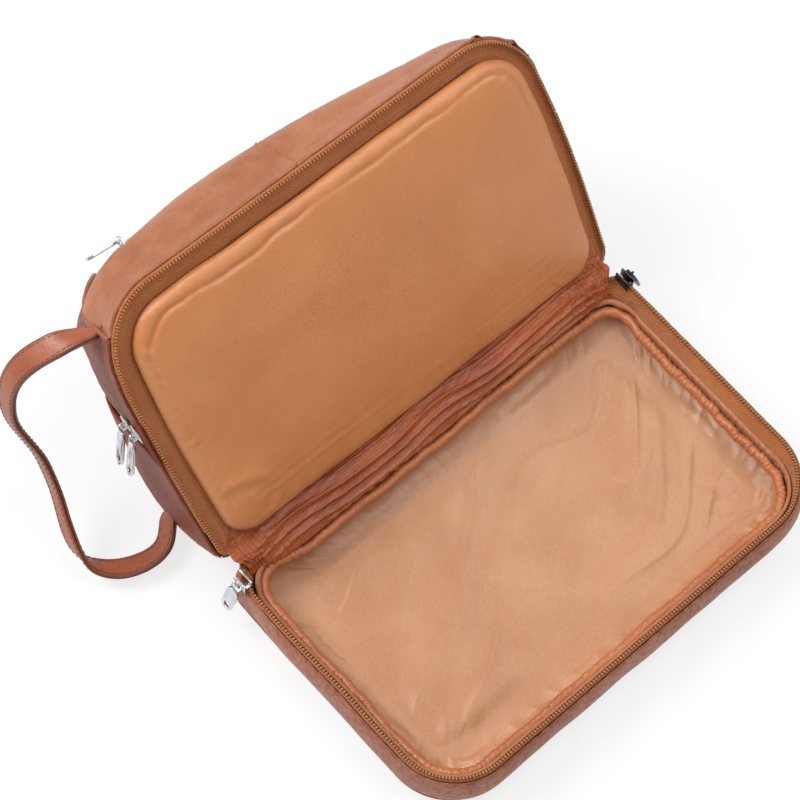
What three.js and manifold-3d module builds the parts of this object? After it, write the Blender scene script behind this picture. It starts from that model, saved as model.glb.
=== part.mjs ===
// A leather toiletry bag lying open: the zipped tray lies flat, and the main compartment
// is tipped back on the hinge between them. Millimetres, +Z up.
//
// Both halves are drawn closed, one on top of the other: X runs along the hinge, the hinge
// side is at y = 0 and the front at -Y, and the two zip rows face each other at z = 0.
// The main compartment is then swung open about the hinge.
import * as THREE from 'three';
import * as BufferGeometryUtils from 'three/addons/utils/BufferGeometryUtils.js';
import Module from 'manifold-3d';

// Driving sizes
const bagWidth = 268;
const bagDepth = 164;
const trayHeight = 34;
const bodyHeight = 99;
const openDegrees = 127;
const frontRadius = 36;
const hingeRadius = 8;

// Materials' thicknesses and the clearance between touching pieces
const leather = 1.8;
const boardThickness = 2;
const satin = 0.9;
const tapeThickness = 0.8;
const clearance = 0.3;
const seamGap = 1;
const overrun = 1;

// Zip: each row of teeth, its tape, and half of the slot left between the leather edges
const toothThickness = 2.2;
const rowWidth = 2.1;
const rowGap = 1.6;
const slotHalf = 4.8;
const rowInset = 1.6;
const tapeWidth = 10;
const frameTapeWidth = 11;

// Main compartment's rounded form
const zipBand = 13;
const rearFullness = 2.68;
const frontFullness = 2.1;
const leftFullness = 1.55;
const rightFullness = 1.08;
const leftSlumpShare = 0.3;
const rightSlumpShare = -0.35;
const endFullness = 3.6;
const topLengthShare = 0.8;
const frontDrawShare = 0.13;
const frontSeamShare = 0.35;
const hingeSeamShare = 0.5;
const gussetTopShare = 0.94;
const pocketZipShare = 0.31;
const pocketZipGap = 10;
const mainZipLowRow = 0.08;
const zipEndRow = 0.075;
const liningLowRow = 0.1;
const liningRoom = 1.2;
const weltRadius = 1.3;

// Divider between the two compartments
const boardInset = 4.6;
const padEdge = 2.4;
const padCrown = 6;
const padCornerRadius = 20;
const padSteps = 5;

// Tray
const liningDrop = 7;
const elasticRadius = 1.8;
const pipingRadius = 1.6;
const pipingLift = 0.4;

// Hinge
const foldRadius = 1.2;
const leafHeight = 9;
const leafThickness = 1.2;
const hingeLiningSteps = 6;
const hingeLiningFoot = 5;
const hingeLiningInset = 18;

// Sliders and pull tabs
const plateThickness = 1;
const sliderLength = 9.5;
const noseWidth = 8;
const tailWidth = 6.4;
const postLength = 1.8;
const postWidth = 0.9;
const barThickness = 1.2;
const crownLength = 6.4;
const eyeRadius = 1.3;
const eyeWire = 0.8;
const tabWidth = 7.6;
const tabLength = 18;
const tabThickness = 1.4;
const tabHole = 2;
const noseGap = 4;
const sliderPlay = 0.45;
const lowerSliderRise = 13.3;
const pocketSliderInset = 1.5;
const mainPullDegrees = 59;
const trayPullDegrees = 70;
const pocketPullDegrees = 80;

// Handle strap
const strapWidth = 11.5;
const strapThickness = 1.7;
const strapGap = 0.3;
const strapFrontRise = 12;
const strapRearRise = 42;
const strapReach = 50;
const strapSag = 30;
const strapSteps = 40;

// Steps along curves
const cornerSteps = 6;
const sideSteps = 3;
const frontSteps = 6;
const rowSteps = 8;
const leastRowShare = 0.03;
const pathSteps = 200;
const beadSides = 6;
const eyeSides = 5;
const eyeSteps = 14;
const foldSides = 10;
const tabSteps = 6;

const halfWidth = bagWidth / 2;
const centreY = -bagDepth / 2;
const shelfZ = slotHalf;
const hingeY = foldRadius + clearance * 2;
const openAngle = THREE.MathUtils.degToRad(openDegrees);

const wasm = await Module();
wasm.setup();

// Looks
const paint = (color, roughness, metalness = 0) => new THREE.MeshStandardMaterial({ color, roughness, metalness });
const leatherPaint = paint(0xa86444, 0.5);
const darkLeatherPaint = paint(0x8a4a34, 0.55);
const satinPaint = paint(0xc58a5e, 0.38);
const tapePaint = paint(0x8f5530, 0.8);
const teethPaint = paint(0x6e5130, 0.5);
const boardPaint = paint(0x6b5a48, 0.9);
const metalPaint = paint(0xc9c9cc, 0.25, 1);
const elasticPaint = paint(0xa9683f, 0.7);

// A named piece
function piece(name, geometry, material) {
  const mesh = new THREE.Mesh(geometry, material);
  mesh.name = name;
  return mesh;
}

// A closed geometry from points and faces, turned face out if its volume comes out negative
function closedGeometry(points, faces) {
  const geometry = new THREE.BufferGeometry();
  geometry.setAttribute('position', new THREE.Float32BufferAttribute(points.flatMap((p) => [p.x, p.y, p.z]), 3));
  const volume = faces.reduce((sum, [a, b, c]) => {
    const cross = new THREE.Vector3().crossVectors(points[b], points[c]);
    return sum + points[a].dot(cross);
  }, 0);
  geometry.setIndex(faces.flatMap(([a, b, c]) => (volume < 0 ? [a, c, b] : [a, b, c])));
  return geometry;
}

// A sheet with thickness between two grids of points, outer[i][j] over inner[i][j]
function sheet(outer, inner) {
  const columns = outer.length;
  const rows = outer[0].length;
  const points = [...outer.flat(), ...inner.flat()];
  const outside = (i, j) => i * rows + j;
  const inside = (i, j) => columns * rows + outside(i, j);
  const faces = [];
  const quad = (a, b, c, d) => faces.push([a, b, c], [a, c, d]);
  for (let i = 0; i < columns - 1; i += 1) {
    for (let j = 0; j < rows - 1; j += 1) {
      quad(outside(i, j), outside(i + 1, j), outside(i + 1, j + 1), outside(i, j + 1));
      quad(inside(i, j), inside(i, j + 1), inside(i + 1, j + 1), inside(i + 1, j));
    }
    quad(outside(i, 0), inside(i, 0), inside(i + 1, 0), outside(i + 1, 0));
    quad(outside(i, rows - 1), outside(i + 1, rows - 1), inside(i + 1, rows - 1), inside(i, rows - 1));
  }
  const last = columns - 1;
  for (let j = 0; j < rows - 1; j += 1) {
    quad(outside(0, j), outside(0, j + 1), inside(0, j + 1), inside(0, j));
    quad(outside(last, j), inside(last, j), inside(last, j + 1), outside(last, j + 1));
  }
  return closedGeometry(points, faces);
}

// A solid turned into the boolean library's form and back
function toSolid(geometry) {
  const clean = geometry.clone();
  clean.deleteAttribute('normal');
  clean.deleteAttribute('uv');
  const merged = BufferGeometryUtils.mergeVertices(clean);
  const vertProperties = new Float32Array(merged.attributes.position.array);
  const triVerts = new Uint32Array(merged.index.array);
  return new wasm.Manifold(new wasm.Mesh({ numProp: 3, vertProperties, triVerts }));
}

function fromSolid(solid) {
  const mesh = solid.getMesh();
  const geometry = new THREE.BufferGeometry();
  geometry.setAttribute('position', new THREE.Float32BufferAttribute(mesh.vertProperties, 3));
  geometry.setIndex(Array.from(mesh.triVerts));
  return geometry;
}

function box(width, depth, height, x, y, z) {
  return new THREE.BoxGeometry(width, depth, height).translate(x, y, z);
}

const spread = (count) => Array.from({ length: count + 1 }, (_, i) => i / count);

// Plan outline: four corners, named as they lie, each an arc that turns a quarter
const corners = {
  frontLeft: { side: -1, front: true, radius: frontRadius, start: 180 },
  frontRight: { side: 1, front: true, radius: frontRadius, start: 270 },
  hingeRight: { side: 1, front: false, radius: hingeRadius, start: 0 },
  hingeLeft: { side: -1, front: false, radius: hingeRadius, start: 90 },
};

// The point of a corner's arc at a share of its quarter turn, moved in by an inset
function cornerPoint(corner, share, inset, least = clearance) {
  const angle = THREE.MathUtils.degToRad(corner.start + 90 * share);
  const radius = Math.max(corner.radius - inset, least);
  const x = corner.side * (halfWidth - inset - radius + radius * corner.side * Math.cos(angle));
  const fromEnd = inset + radius;
  const y = corner.front ? -(bagDepth - fromEnd) : -fromEnd;
  return new THREE.Vector2(x, y + radius * Math.sin(angle));
}

function arc(corner, from, to, inset, steps = cornerSteps, least = clearance) {
  return spread(steps).map((t) => cornerPoint(corner, from + (to - from) * t, inset, least));
}

// Points strictly between two points
function between(a, b, steps) {
  return spread(steps).slice(1, -1).map((t) => a.clone().lerp(b, t));
}

function joined(parts, steps) {
  return parts.reduce((path, part) => {
    if (path.length === 0) return [...part];
    return [...path, ...between(path[path.length - 1], part[0], steps), ...part];
  }, []);
}

// The whole outline, and the three sides that the zip runs along
function wholeOutline(inset, least = clearance) {
  const order = [corners.frontLeft, corners.frontRight, corners.hingeRight, corners.hingeLeft];
  return order.flatMap((corner) => arc(corner, 0, 1, inset, cornerSteps, least));
}

function zipOutline(inset) {
  const start = new THREE.Vector2(-halfWidth + inset, -hingeRadius);
  const end = new THREE.Vector2(halfWidth - inset, -hingeRadius);
  return [start, ...arc(corners.frontLeft, 0, 1, inset), ...arc(corners.frontRight, 0, 1, inset), end];
}

// Upright walls: an outline's band from one inset to another, between two heights
function ringWall(outerInset, innerInset, low, high) {
  const shape = new THREE.Shape(wholeOutline(outerInset));
  shape.holes.push(new THREE.Path(wholeOutline(innerInset)));
  return new THREE.ExtrudeGeometry(shape, { depth: high - low, bevelEnabled: false }).translate(0, 0, low);
}

function zipWall(outerInset, innerInset, low, high) {
  const shape = new THREE.Shape([...zipOutline(outerInset), ...zipOutline(innerInset).reverse()]);
  return new THREE.ExtrudeGeometry(shape, { depth: high - low, bevelEnabled: false }).translate(0, 0, low);
}

function plate(inset, low, high) {
  const shape = new THREE.Shape(wholeOutline(inset));
  return new THREE.ExtrudeGeometry(shape, { depth: high - low, bevelEnabled: false }).translate(0, 0, low);
}

// The main compartment swells from the plan outline to the zip along its top. A row is an
// angle from 0 at the frame to a quarter turn at the top. Depth and height follow a
// superellipse of the local fullness. The ends draw in towards the top, most at the front.
function fullnessAt(x, y) {
  if (y > centreY) return rearFullness;
  const rightSlump = THREE.MathUtils.smoothstep(x, halfWidth * rightSlumpShare, halfWidth);
  const leftSlump = THREE.MathUtils.smoothstep(-x, halfWidth * leftSlumpShare, halfWidth);
  const fullness = THREE.MathUtils.lerp(frontFullness, rightFullness, rightSlump);
  return THREE.MathUtils.lerp(fullness, leftFullness, leftSlump);
}

function endShare(rise, y) {
  const drawn = Math.pow(Math.max(1 - Math.pow(rise, endFullness), 0), 1 / endFullness);
  const frontness = THREE.MathUtils.smoothstep(-y, 0, bagDepth);
  return (topLengthShare + (1 - topLengthShare) * drawn) * (1 - frontDrawShare * frontness * rise);
}

function domePoint(base, row, inset) {
  const fullness = fullnessAt(base.x, base.y);
  const angle = row * Math.PI / 2;
  const rise = Math.pow(Math.max(Math.sin(angle), 0), 2 / fullness);
  const reach = Math.pow(Math.max(Math.cos(angle), 0), 2 / fullness);
  const offset = base.y - centreY;
  const kept = Math.min(Math.abs(offset), zipBand);
  const y = centreY + Math.sign(offset) * (kept + (Math.abs(offset) - kept) * reach);
  return new THREE.Vector3(base.x * endShare(rise, y), y, shelfZ + (bodyHeight - inset - shelfZ) * rise);
}

// Rows from one to another, by way of the rows that all patches share, so that neighbours'
// facets meet
function rowsBetween(from, to) {
  const shared = spread(rowSteps).filter((row) => row > from + leastRowShare && row < to - leastRowShare);
  return [from, ...shared, to];
}

// A patch of the compartment's skin over a stretch of the outline, between two rows
function domePatch(baseAt, fromRow, toRow, outerInset, innerInset) {
  const rows = rowsBetween(fromRow, toRow);
  const grid = (inset) => baseAt(inset).map((base) => rows.map((row) => domePoint(base, row, inset)));
  return sheet(grid(outerInset), grid(innerInset));
}

// Stretches of the outline: front, rear and the four halves of the gussets. Each stops half
// a seam short of its neighbour.
const seamShare = (corner) => (seamGap / 2) / (corner.radius * Math.PI / 2);

function frontBase(inset) {
  const gap = seamShare(corners.frontLeft);
  const left = arc(corners.frontLeft, frontSeamShare + gap, 1, inset);
  const right = arc(corners.frontRight, 0, 1 - frontSeamShare - gap, inset);
  return joined([left, right], frontSteps);
}

function rearBase(inset) {
  const gap = seamShare(corners.hingeLeft);
  const right = arc(corners.hingeRight, hingeSeamShare + gap, 1, inset, sideSteps);
  const left = arc(corners.hingeLeft, 0, 1 - hingeSeamShare - gap, inset, sideSteps);
  return joined([right, left], frontSteps);
}

function gussetFrontLeft(inset) {
  const start = new THREE.Vector2(-halfWidth + inset, centreY - zipBand - clearance);
  const seam = frontSeamShare - seamShare(corners.frontLeft);
  return joined([[start], arc(corners.frontLeft, 0, seam, inset, sideSteps)], sideSteps);
}

function gussetFrontRight(inset) {
  const end = new THREE.Vector2(halfWidth - inset, centreY - zipBand - clearance);
  const seam = 1 - frontSeamShare + seamShare(corners.frontRight);
  return joined([arc(corners.frontRight, seam, 1, inset, sideSteps), [end]], sideSteps);
}

function gussetRearRight(inset) {
  const start = new THREE.Vector2(halfWidth - inset, centreY + zipBand + clearance);
  const seam = hingeSeamShare - seamShare(corners.hingeRight);
  return joined([[start], arc(corners.hingeRight, 0, seam, inset, sideSteps)], sideSteps);
}

function gussetRearLeft(inset) {
  const end = new THREE.Vector2(-halfWidth + inset, centreY + zipBand + clearance);
  const seam = 1 - hingeSeamShare + seamShare(corners.hingeLeft);
  return joined([arc(corners.hingeLeft, seam, 1, inset, sideSteps), [end]], sideSteps);
}

// Rows that the pocket zip lies between, half its slot to each side, measured along the skin
const frontMiddle = new THREE.Vector2(0, -bagDepth);
const frontLength = spread(pathSteps).slice(1).reduce((length, row) => {
  const before = domePoint(frontMiddle, row - 1 / pathSteps, 0);
  return length + before.distanceTo(domePoint(frontMiddle, row, 0));
}, 0);
const pocketRowStep = pocketZipGap / frontLength;
const pocketLowRow = pocketZipShare - pocketRowStep / 2;
const pocketHighRow = pocketZipShare + pocketRowStep / 2;

function addShell(group) {
  group.add(
    piece('pocket_panel', domePatch(frontBase, 0, pocketLowRow, 0, leather), leatherPaint),
    piece('front_panel', domePatch(frontBase, pocketHighRow, 1, 0, leather), leatherPaint),
    piece('rear_panel', domePatch(rearBase, 0, 1, 0, leather), leatherPaint),
    piece('gusset_left_front', domePatch(gussetFrontLeft, 0, gussetTopShare, 0, leather), leatherPaint),
    piece('gusset_left_rear', domePatch(gussetRearLeft, 0, gussetTopShare, 0, leather), leatherPaint),
    piece('gusset_right_front', domePatch(gussetFrontRight, 0, gussetTopShare, 0, leather), leatherPaint),
    piece('gusset_right_rear', domePatch(gussetRearRight, 0, gussetTopShare, 0, leather), leatherPaint),
  );
}

// The zip over the top runs up one gusset, along the top and down the other, in the middle
// plane. A strip of it lies between two distances from that plane.
function zipPath(inset) {
  const climb = (side) => spread(rowSteps).map((t) => {
    const base = new THREE.Vector2(side * (halfWidth - inset), centreY);
    return domePoint(base, mainZipLowRow + (1 - mainZipLowRow) * t, inset);
  });
  return [...climb(-1), ...climb(1).reverse()];
}

function zipStrip(side, near, far, outerInset, innerInset) {
  const grid = (inset) => zipPath(inset).map((p) => (
    [near, far].map((reach) => new THREE.Vector3(p.x, centreY + side * reach, p.z))
  ));
  return sheet(grid(outerInset), grid(innerInset));
}

const rowFar = rowGap / 2 + rowWidth;
const tapeInset = rowInset + (toothThickness - tapeThickness) / 2;
const mainRowInset = leather / 2 - toothThickness / 2;
const mainTapeInset = leather / 2 - tapeThickness / 2;

// Leather closes each gusset below the end of the zip
function addZipEnds(group) {
  const zipEnd = (side) => {
    const grid = (inset) => [0, zipEndRow].map((row) => {
      const p = domePoint(new THREE.Vector2(side * (halfWidth - inset), centreY), row, inset);
      return [-zipBand, zipBand].map((reach) => new THREE.Vector3(p.x, centreY + reach, p.z));
    });
    return sheet(grid(0), grid(leather));
  };
  group.add(
    piece('zip_end_left', zipEnd(-1), leatherPaint),
    piece('zip_end_right', zipEnd(1), leatherPaint),
  );
}

function addMainZip(group) {
  const tapeNear = rowFar + clearance;
  const tape = (side) => zipStrip(side, tapeNear, zipBand, mainTapeInset, mainTapeInset + tapeThickness);
  const row = (side) => zipStrip(side, rowGap / 2, rowFar, mainRowInset, mainRowInset + toothThickness);
  group.add(
    piece('main_tape_front', tape(-1), tapePaint),
    piece('main_tape_rear', tape(1), tapePaint),
    piece('main_teeth_front', row(-1), teethPaint),
    piece('main_teeth_rear', row(1), teethPaint),
  );
}

// The pocket zip crosses the front panel in the slot between its two parts
function pocketStrip(fromShare, toShare, outerInset, innerInset) {
  const row = (share) => THREE.MathUtils.lerp(pocketLowRow, pocketHighRow, share);
  return domePatch(frontBase, row(fromShare), row(toShare), outerInset, innerInset);
}

function addPocketZip(group) {
  const share = (size) => 0.5 + size / pocketZipGap;
  const edge = pocketZipGap / 2 - clearance;
  const tape = (from, to) => pocketStrip(from, to, mainTapeInset, mainTapeInset + tapeThickness);
  const row = (from, to) => pocketStrip(from, to, mainRowInset, mainRowInset + toothThickness);
  group.add(
    piece('pocket_tape_lower', tape(share(-edge), share(-rowFar - clearance)), tapePaint),
    piece('pocket_tape_upper', tape(share(rowFar + clearance), share(edge)), tapePaint),
    piece('pocket_teeth_lower', row(share(-rowFar), share(-rowGap / 2)), teethPaint),
    piece('pocket_teeth_upper', row(share(rowGap / 2), share(rowFar)), teethPaint),
  );
}

// A round bead along a path
function bead(points, radius, steps) {
  const section = new THREE.Shape();
  section.absarc(0, 0, radius, 0, Math.PI * 2);
  const extrudePath = new THREE.CatmullRomCurve3(points);
  const curveSegments = beadSides / 2;
  return new THREE.ExtrudeGeometry(section, { steps, curveSegments, bevelEnabled: false, extrudePath });
}

// A place at an upright seam, lifted off the skin along its normal
function overSeam(corner, share, row, lift) {
  const at = (nearShare, nearRow) => domePoint(cornerPoint(corner, nearShare, 0), nearRow, 0);
  const along = at(share + 1 / pathSteps, row).sub(at(share - 1 / pathSteps, row));
  const climb = at(share, Math.min(row + 1 / pathSteps, 1)).sub(at(share, Math.max(row - 1 / pathSteps, 0)));
  return at(share, row).addScaledVector(along.cross(climb).normalize(), lift);
}

// A rolled welt lies over each upright seam
function addWelts(group) {
  const welt = (name, corner, share) => {
    const points = spread(rowSteps * 2).map((t) => (
      overSeam(corner, share, gussetTopShare * t, weltRadius + clearance)
    ));
    group.add(piece(name, bead(points, weltRadius, rowSteps * 2), darkLeatherPaint));
  };
  welt('welt_front_left', corners.frontLeft, frontSeamShare);
  welt('welt_front_right', corners.frontRight, 1 - frontSeamShare);
  welt('welt_rear_right', corners.hingeRight, hingeSeamShare);
  welt('welt_rear_left', corners.hingeLeft, 1 - hingeSeamShare);
}

// The lining of the main compartment, in two halves that stop at the zip's tape
function addMainLining(group) {
  const outer = leather + liningRoom;
  const inner = outer + satin;
  const frontHalf = (inset) => joined([gussetFrontLeft(inset), gussetFrontRight(inset)], frontSteps);
  const rearHalf = (inset) => joined([gussetRearRight(inset), gussetRearLeft(inset)], frontSteps);
  group.add(
    piece('main_lining_front', domePatch(frontHalf, liningLowRow, gussetTopShare, outer, inner), satinPaint),
    piece('main_lining_rear', domePatch(rearHalf, liningLowRow, gussetTopShare, outer, inner), satinPaint),
  );
}

// A padded panel: an outline with an edge, swelling towards its middle
function cushion(outline, back, edge, crown, steps) {
  const middle = new THREE.Vector2(0, centreY);
  const ring = (share, z) => outline.map((p) => {
    const q = p.clone().lerp(middle, share);
    return new THREE.Vector3(q.x, q.y, z);
  });
  const rings = [ring(0, back), ring(0, back - edge)];
  spread(steps).slice(1, -1).forEach((t) => {
    rings.push(ring(t * t, back - edge - crown * Math.sin(t * Math.PI / 2)));
  });
  const points = rings.flat();
  const count = outline.length;
  const backMiddle = points.push(new THREE.Vector3(middle.x, middle.y, back)) - 1;
  const frontMiddleIndex = points.push(new THREE.Vector3(middle.x, middle.y, back - edge - crown)) - 1;
  const faces = [];
  for (let i = 0; i < count; i += 1) {
    const next = (i + 1) % count;
    faces.push([backMiddle, next, i]);
    for (let k = 0; k < rings.length - 1; k += 1) {
      const low = k * count;
      const high = low + count;
      faces.push([low + i, low + next, high + next], [low + i, high + next, high + i]);
    }
    const lastRing = (rings.length - 1) * count;
    faces.push([frontMiddleIndex, lastRing + i, lastRing + next]);
  }
  return closedGeometry(points, faces);
}

const shelfTop = slotHalf + tapeThickness - clearance;
const boardZ = shelfTop + clearance;

function addDivider(group) {
  const padInset = tapeInset + frameTapeWidth + clearance;
  group.add(
    piece('divider_board', plate(boardInset, boardZ, boardZ + boardThickness), boardPaint),
    piece('divider_pad', cushion(wholeOutline(padInset, padCornerRadius), shelfTop, padEdge, padCrown, padSteps), satinPaint),
  );
}

// The compartment's half of the lower zip: teeth, then tape that turns in over the divider
function addFrameZip(group) {
  const rowTop = rowFar + clearance;
  const profile = (points) => points.map(([inset, z]) => (
    zipOutline(inset).map((p) => new THREE.Vector3(p.x, p.y, z))
  ));
  const columns = (points) => {
    const lines = profile(points);
    return lines[0].map((_, i) => lines.map((line) => line[i]));
  };
  const inner = tapeInset + tapeThickness;
  const far = tapeInset + frameTapeWidth;
  const under = shelfTop - tapeThickness;
  const outerSide = columns([[tapeInset, rowTop], [tapeInset, shelfTop], [far, shelfTop]]);
  const innerSide = columns([[inner, rowTop], [inner, under], [far, under]]);
  group.add(
    piece('frame_tape', sheet(outerSide, innerSide), tapePaint),
    piece('frame_teeth', zipWall(rowInset, rowInset + toothThickness, rowGap / 2, rowFar), teethPaint),
  );
}

// A closed bead that follows the outline
function outlineBead(inset, z, radius) {
  const loops = spread(beadSides).slice(0, -1).map((t) => {
    const angle = t * Math.PI * 2;
    return wholeOutline(inset + radius * Math.cos(angle)).map((p) => (
      new THREE.Vector3(p.x, p.y, z + radius * Math.sin(angle))
    ));
  });
  const count = loops[0].length;
  const faces = [];
  for (let k = 0; k < beadSides; k += 1) {
    const nextLoop = ((k + 1) % beadSides) * count;
    for (let i = 0; i < count; i += 1) {
      const next = (i + 1) % count;
      const a = k * count + i;
      const b = k * count + next;
      faces.push([a, b, nextLoop + next], [a, nextLoop + next, nextLoop + i]);
    }
  }
  return closedGeometry(loops.flat(), faces);
}

const floorZ = -trayHeight;
const pipingZ = floorZ + pipingRadius + pipingLift;
const boardFloor = floorZ + leather + clearance;
const liningFloor = boardFloor + boardThickness + clearance;
const liningTop = -liningDrop;
const liningInset = tapeInset + tapeThickness + clearance;

function trayLining() {
  const block = toSolid(plate(liningInset, liningFloor, liningTop));
  const hollow = toSolid(plate(liningInset + satin, liningFloor + satin, liningTop + overrun));
  return fromSolid(block.subtract(hollow));
}

function addTray(group) {
  const wallLow = pipingZ + pipingRadius + clearance;
  const rowTop = rowFar + clearance;
  const elasticInset = liningInset + satin + clearance + elasticRadius;
  const baseInset = pipingRadius * 2 + clearance;
  group.add(
    piece('tray_wall', ringWall(0, leather, wallLow, -slotHalf), leatherPaint),
    piece('tray_base', plate(baseInset, floorZ, floorZ + leather), leatherPaint),
    piece('tray_piping', outlineBead(pipingRadius, pipingZ, pipingRadius), darkLeatherPaint),
    piece('tray_board', plate(baseInset, boardFloor, boardFloor + boardThickness), boardPaint),
    piece('tray_lining', trayLining(), satinPaint),
    piece('tray_elastic', outlineBead(elasticInset, liningTop - elasticRadius, elasticRadius), elasticPaint),
    piece('tray_tape', zipWall(tapeInset, tapeInset + tapeThickness, -rowTop - tapeWidth, -rowTop), tapePaint),
    piece('tray_teeth', zipWall(rowInset, rowInset + toothThickness, -rowFar, -rowGap / 2), teethPaint),
  );
}

// The hinge: a rolled fold on the axis, a leather leaf stitched to each half, and the gathered
// lining that bridges the two halves inside while the bag is open
function hingeBar(y, z, depth, height) {
  return box(bagWidth - hingeRadius * 2, depth, height, 0, y, z);
}

function leaf(side) {
  const low = foldRadius + clearance;
  return hingeBar(clearance + leafThickness / 2, side * (low + leafHeight / 2), leafThickness, leafHeight);
}

// Where a point of the closed compartment goes when it is swung open
function opened(point) {
  const pivot = new THREE.Vector3(0, hingeY, 0);
  return point.clone().sub(pivot).applyAxisAngle(new THREE.Vector3(1, 0, 0), -openAngle).add(pivot);
}

function hingeLining() {
  const padSide = tapeInset + frameTapeWidth - clearance;
  const rest = shelfTop - clearance - satin;
  const route = new THREE.CatmullRomCurve3([
    new THREE.Vector3(0, -(liningInset + satin / 2), liningTop + clearance + satin / 2),
    new THREE.Vector3(0, 0, foldRadius + satin),
    opened(new THREE.Vector3(0, -hingeLiningFoot, rest)),
    opened(new THREE.Vector3(0, -padSide, rest)),
  ]);
  const half = halfWidth - hingeLiningInset;
  const side = (offset) => [-half, half].map((x) => spread(hingeLiningSteps).map((t) => {
    const along = route.getTangent(t);
    const normal = new THREE.Vector3(0, -along.z, along.y).normalize();
    return route.getPoint(t).setX(x).addScaledVector(normal, offset);
  }));
  return sheet(side(satin / 2), side(-satin / 2));
}

function addHinge(trayGroup, bodyGroup) {
  const fold = new THREE.CylinderGeometry(foldRadius, foldRadius, bagWidth - hingeRadius * 2, foldSides);
  trayGroup.add(
    piece('hinge_fold', fold.rotateZ(Math.PI / 2).translate(0, hingeY, 0), darkLeatherPaint),
    piece('hinge_leaf_tray', leaf(-1), leatherPaint),
    piece('hinge_lining', hingeLining(), satinPaint),
  );
  bodyGroup.add(piece('hinge_leaf_body', leaf(1), leatherPaint));
}

// A slider runs along X with its nose forward. Z points out of the bag. Two plates hold the
// rows of teeth, a post at the nose parts them, and a crown on top carries the pull tab. The
// crown lies along the travel, or across it where it is turned.
const plateZ = toothThickness / 2 + sliderPlay + plateThickness / 2;
const crownZ = plateZ + plateThickness / 2 + clearance + eyeWire + eyeRadius;

function sliderPlate(z) {
  const half = sliderLength / 2;
  const outline = [[half, noseWidth / 2], [-half, tailWidth / 2], [-half, -tailWidth / 2], [half, -noseWidth / 2]];
  const shape = new THREE.Shape(outline.map(([x, y]) => new THREE.Vector2(x, y)));
  const options = { depth: plateThickness, bevelEnabled: false };
  return new THREE.ExtrudeGeometry(shape, options).translate(0, 0, z - plateThickness / 2);
}

function crownParts() {
  const legX = crownLength / 2 - barThickness / 2;
  const legHeight = crownZ - plateZ;
  return [
    box(crownLength, barThickness, barThickness, 0, 0, crownZ),
    box(barThickness, barThickness, legHeight, -legX, 0, plateZ + legHeight / 2),
    box(barThickness, barThickness, legHeight, legX, 0, plateZ + legHeight / 2),
  ];
}

function sliderGeometry(crownTurn) {
  const postX = sliderLength / 2 - postLength / 2;
  const parts = [
    sliderPlate(plateZ),
    sliderPlate(-plateZ),
    box(postLength, postWidth, plateZ * 2, postX, 0, 0),
    ...crownParts().map((part) => part.rotateZ(crownTurn)),
  ];
  return fromSolid(parts.map(toSolid).reduce((whole, part) => whole.add(part)));
}

// The pull tab hangs from the crown by a cross eye. It points along Z from the crown.
function pullGeometry() {
  const neck = eyeRadius + eyeWire / 2;
  const eye = new THREE.TorusGeometry(neck, eyeWire / 2, eyeSides, eyeSteps).rotateY(Math.PI / 2);
  const shape = new THREE.Shape();
  const round = tabWidth / 2;
  shape.absarc(0, tabLength - round, round, 0, Math.PI, false);
  shape.absarc(0, round, round, Math.PI, Math.PI * 2, false);
  const hole = new THREE.Path();
  hole.absarc(0, tabLength - round, tabHole, 0, Math.PI * 2, true);
  shape.holes.push(hole);
  const options = { depth: tabThickness, bevelEnabled: false, curveSegments: tabSteps };
  const tab = new THREE.ExtrudeGeometry(shape, options).translate(0, 0, -tabThickness / 2);
  tab.rotateX(Math.PI / 2).translate(0, 0, neck);
  return fromSolid(toSolid(eye).add(toSolid(tab)));
}

function slider(name, degrees, crownTurn = 0) {
  const group = new THREE.Group();
  const crown = new THREE.Group();
  const pull = piece(`${name}_pull`, pullGeometry(), metalPaint);
  pull.position.z = crownZ;
  pull.rotation.x = THREE.MathUtils.degToRad(degrees);
  crown.rotation.z = crownTurn;
  crown.add(pull);
  group.add(piece(`${name}_slider`, sliderGeometry(crownTurn), metalPaint), crown);
  return group;
}

// Turned so that X follows the travel and Z the way out, at a place
function placed(group, travel, outward, position) {
  const lateral = new THREE.Vector3().crossVectors(outward, travel);
  group.setRotationFromMatrix(new THREE.Matrix4().makeBasis(travel, lateral, outward));
  group.position.copy(position);
  return group;
}

const left = new THREE.Vector3(-1, 0, 0);
const right = new THREE.Vector3(1, 0, 0);
const upward = new THREE.Vector3(0, 0, 1);
const forward = new THREE.Vector3(0, -1, 0);

// A slider on the zip over the top, at a rise up the left gusset, heading up or down
function mainSlider(name, degrees, rise, heading) {
  const path = zipPath(leather / 2);
  const next = path.findIndex((point) => point.z > shelfZ + rise);
  const climb = path[next].clone().sub(path[next - 1]);
  const at = path[next - 1].clone().addScaledVector(climb, (shelfZ + rise - path[next - 1].z) / climb.z);
  climb.normalize();
  const outward = new THREE.Vector3(-climb.z, 0, climb.x);
  return placed(slider(name, degrees), climb.multiplyScalar(heading), outward, at);
}

function addSliders(trayGroup, bodyGroup) {
  const upperSliderRise = lowerSliderRise + sliderLength + noseGap;
  bodyGroup.add(
    mainSlider('main_lower', -mainPullDegrees, lowerSliderRise, 1),
    mainSlider('main_upper', mainPullDegrees, upperSliderRise, -1),
  );
  const rowMiddle = rowInset + toothThickness / 2;
  const trayY = -hingeRadius;
  trayGroup.add(
    placed(slider('tray_left', trayPullDegrees), forward, left, new THREE.Vector3(-halfWidth + rowMiddle, trayY, 0)),
    placed(slider('tray_right', -trayPullDegrees), forward, right, new THREE.Vector3(halfWidth - rowMiddle, trayY, 0)),
  );
  bodyGroup.add(pocketSlider());
}

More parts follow.
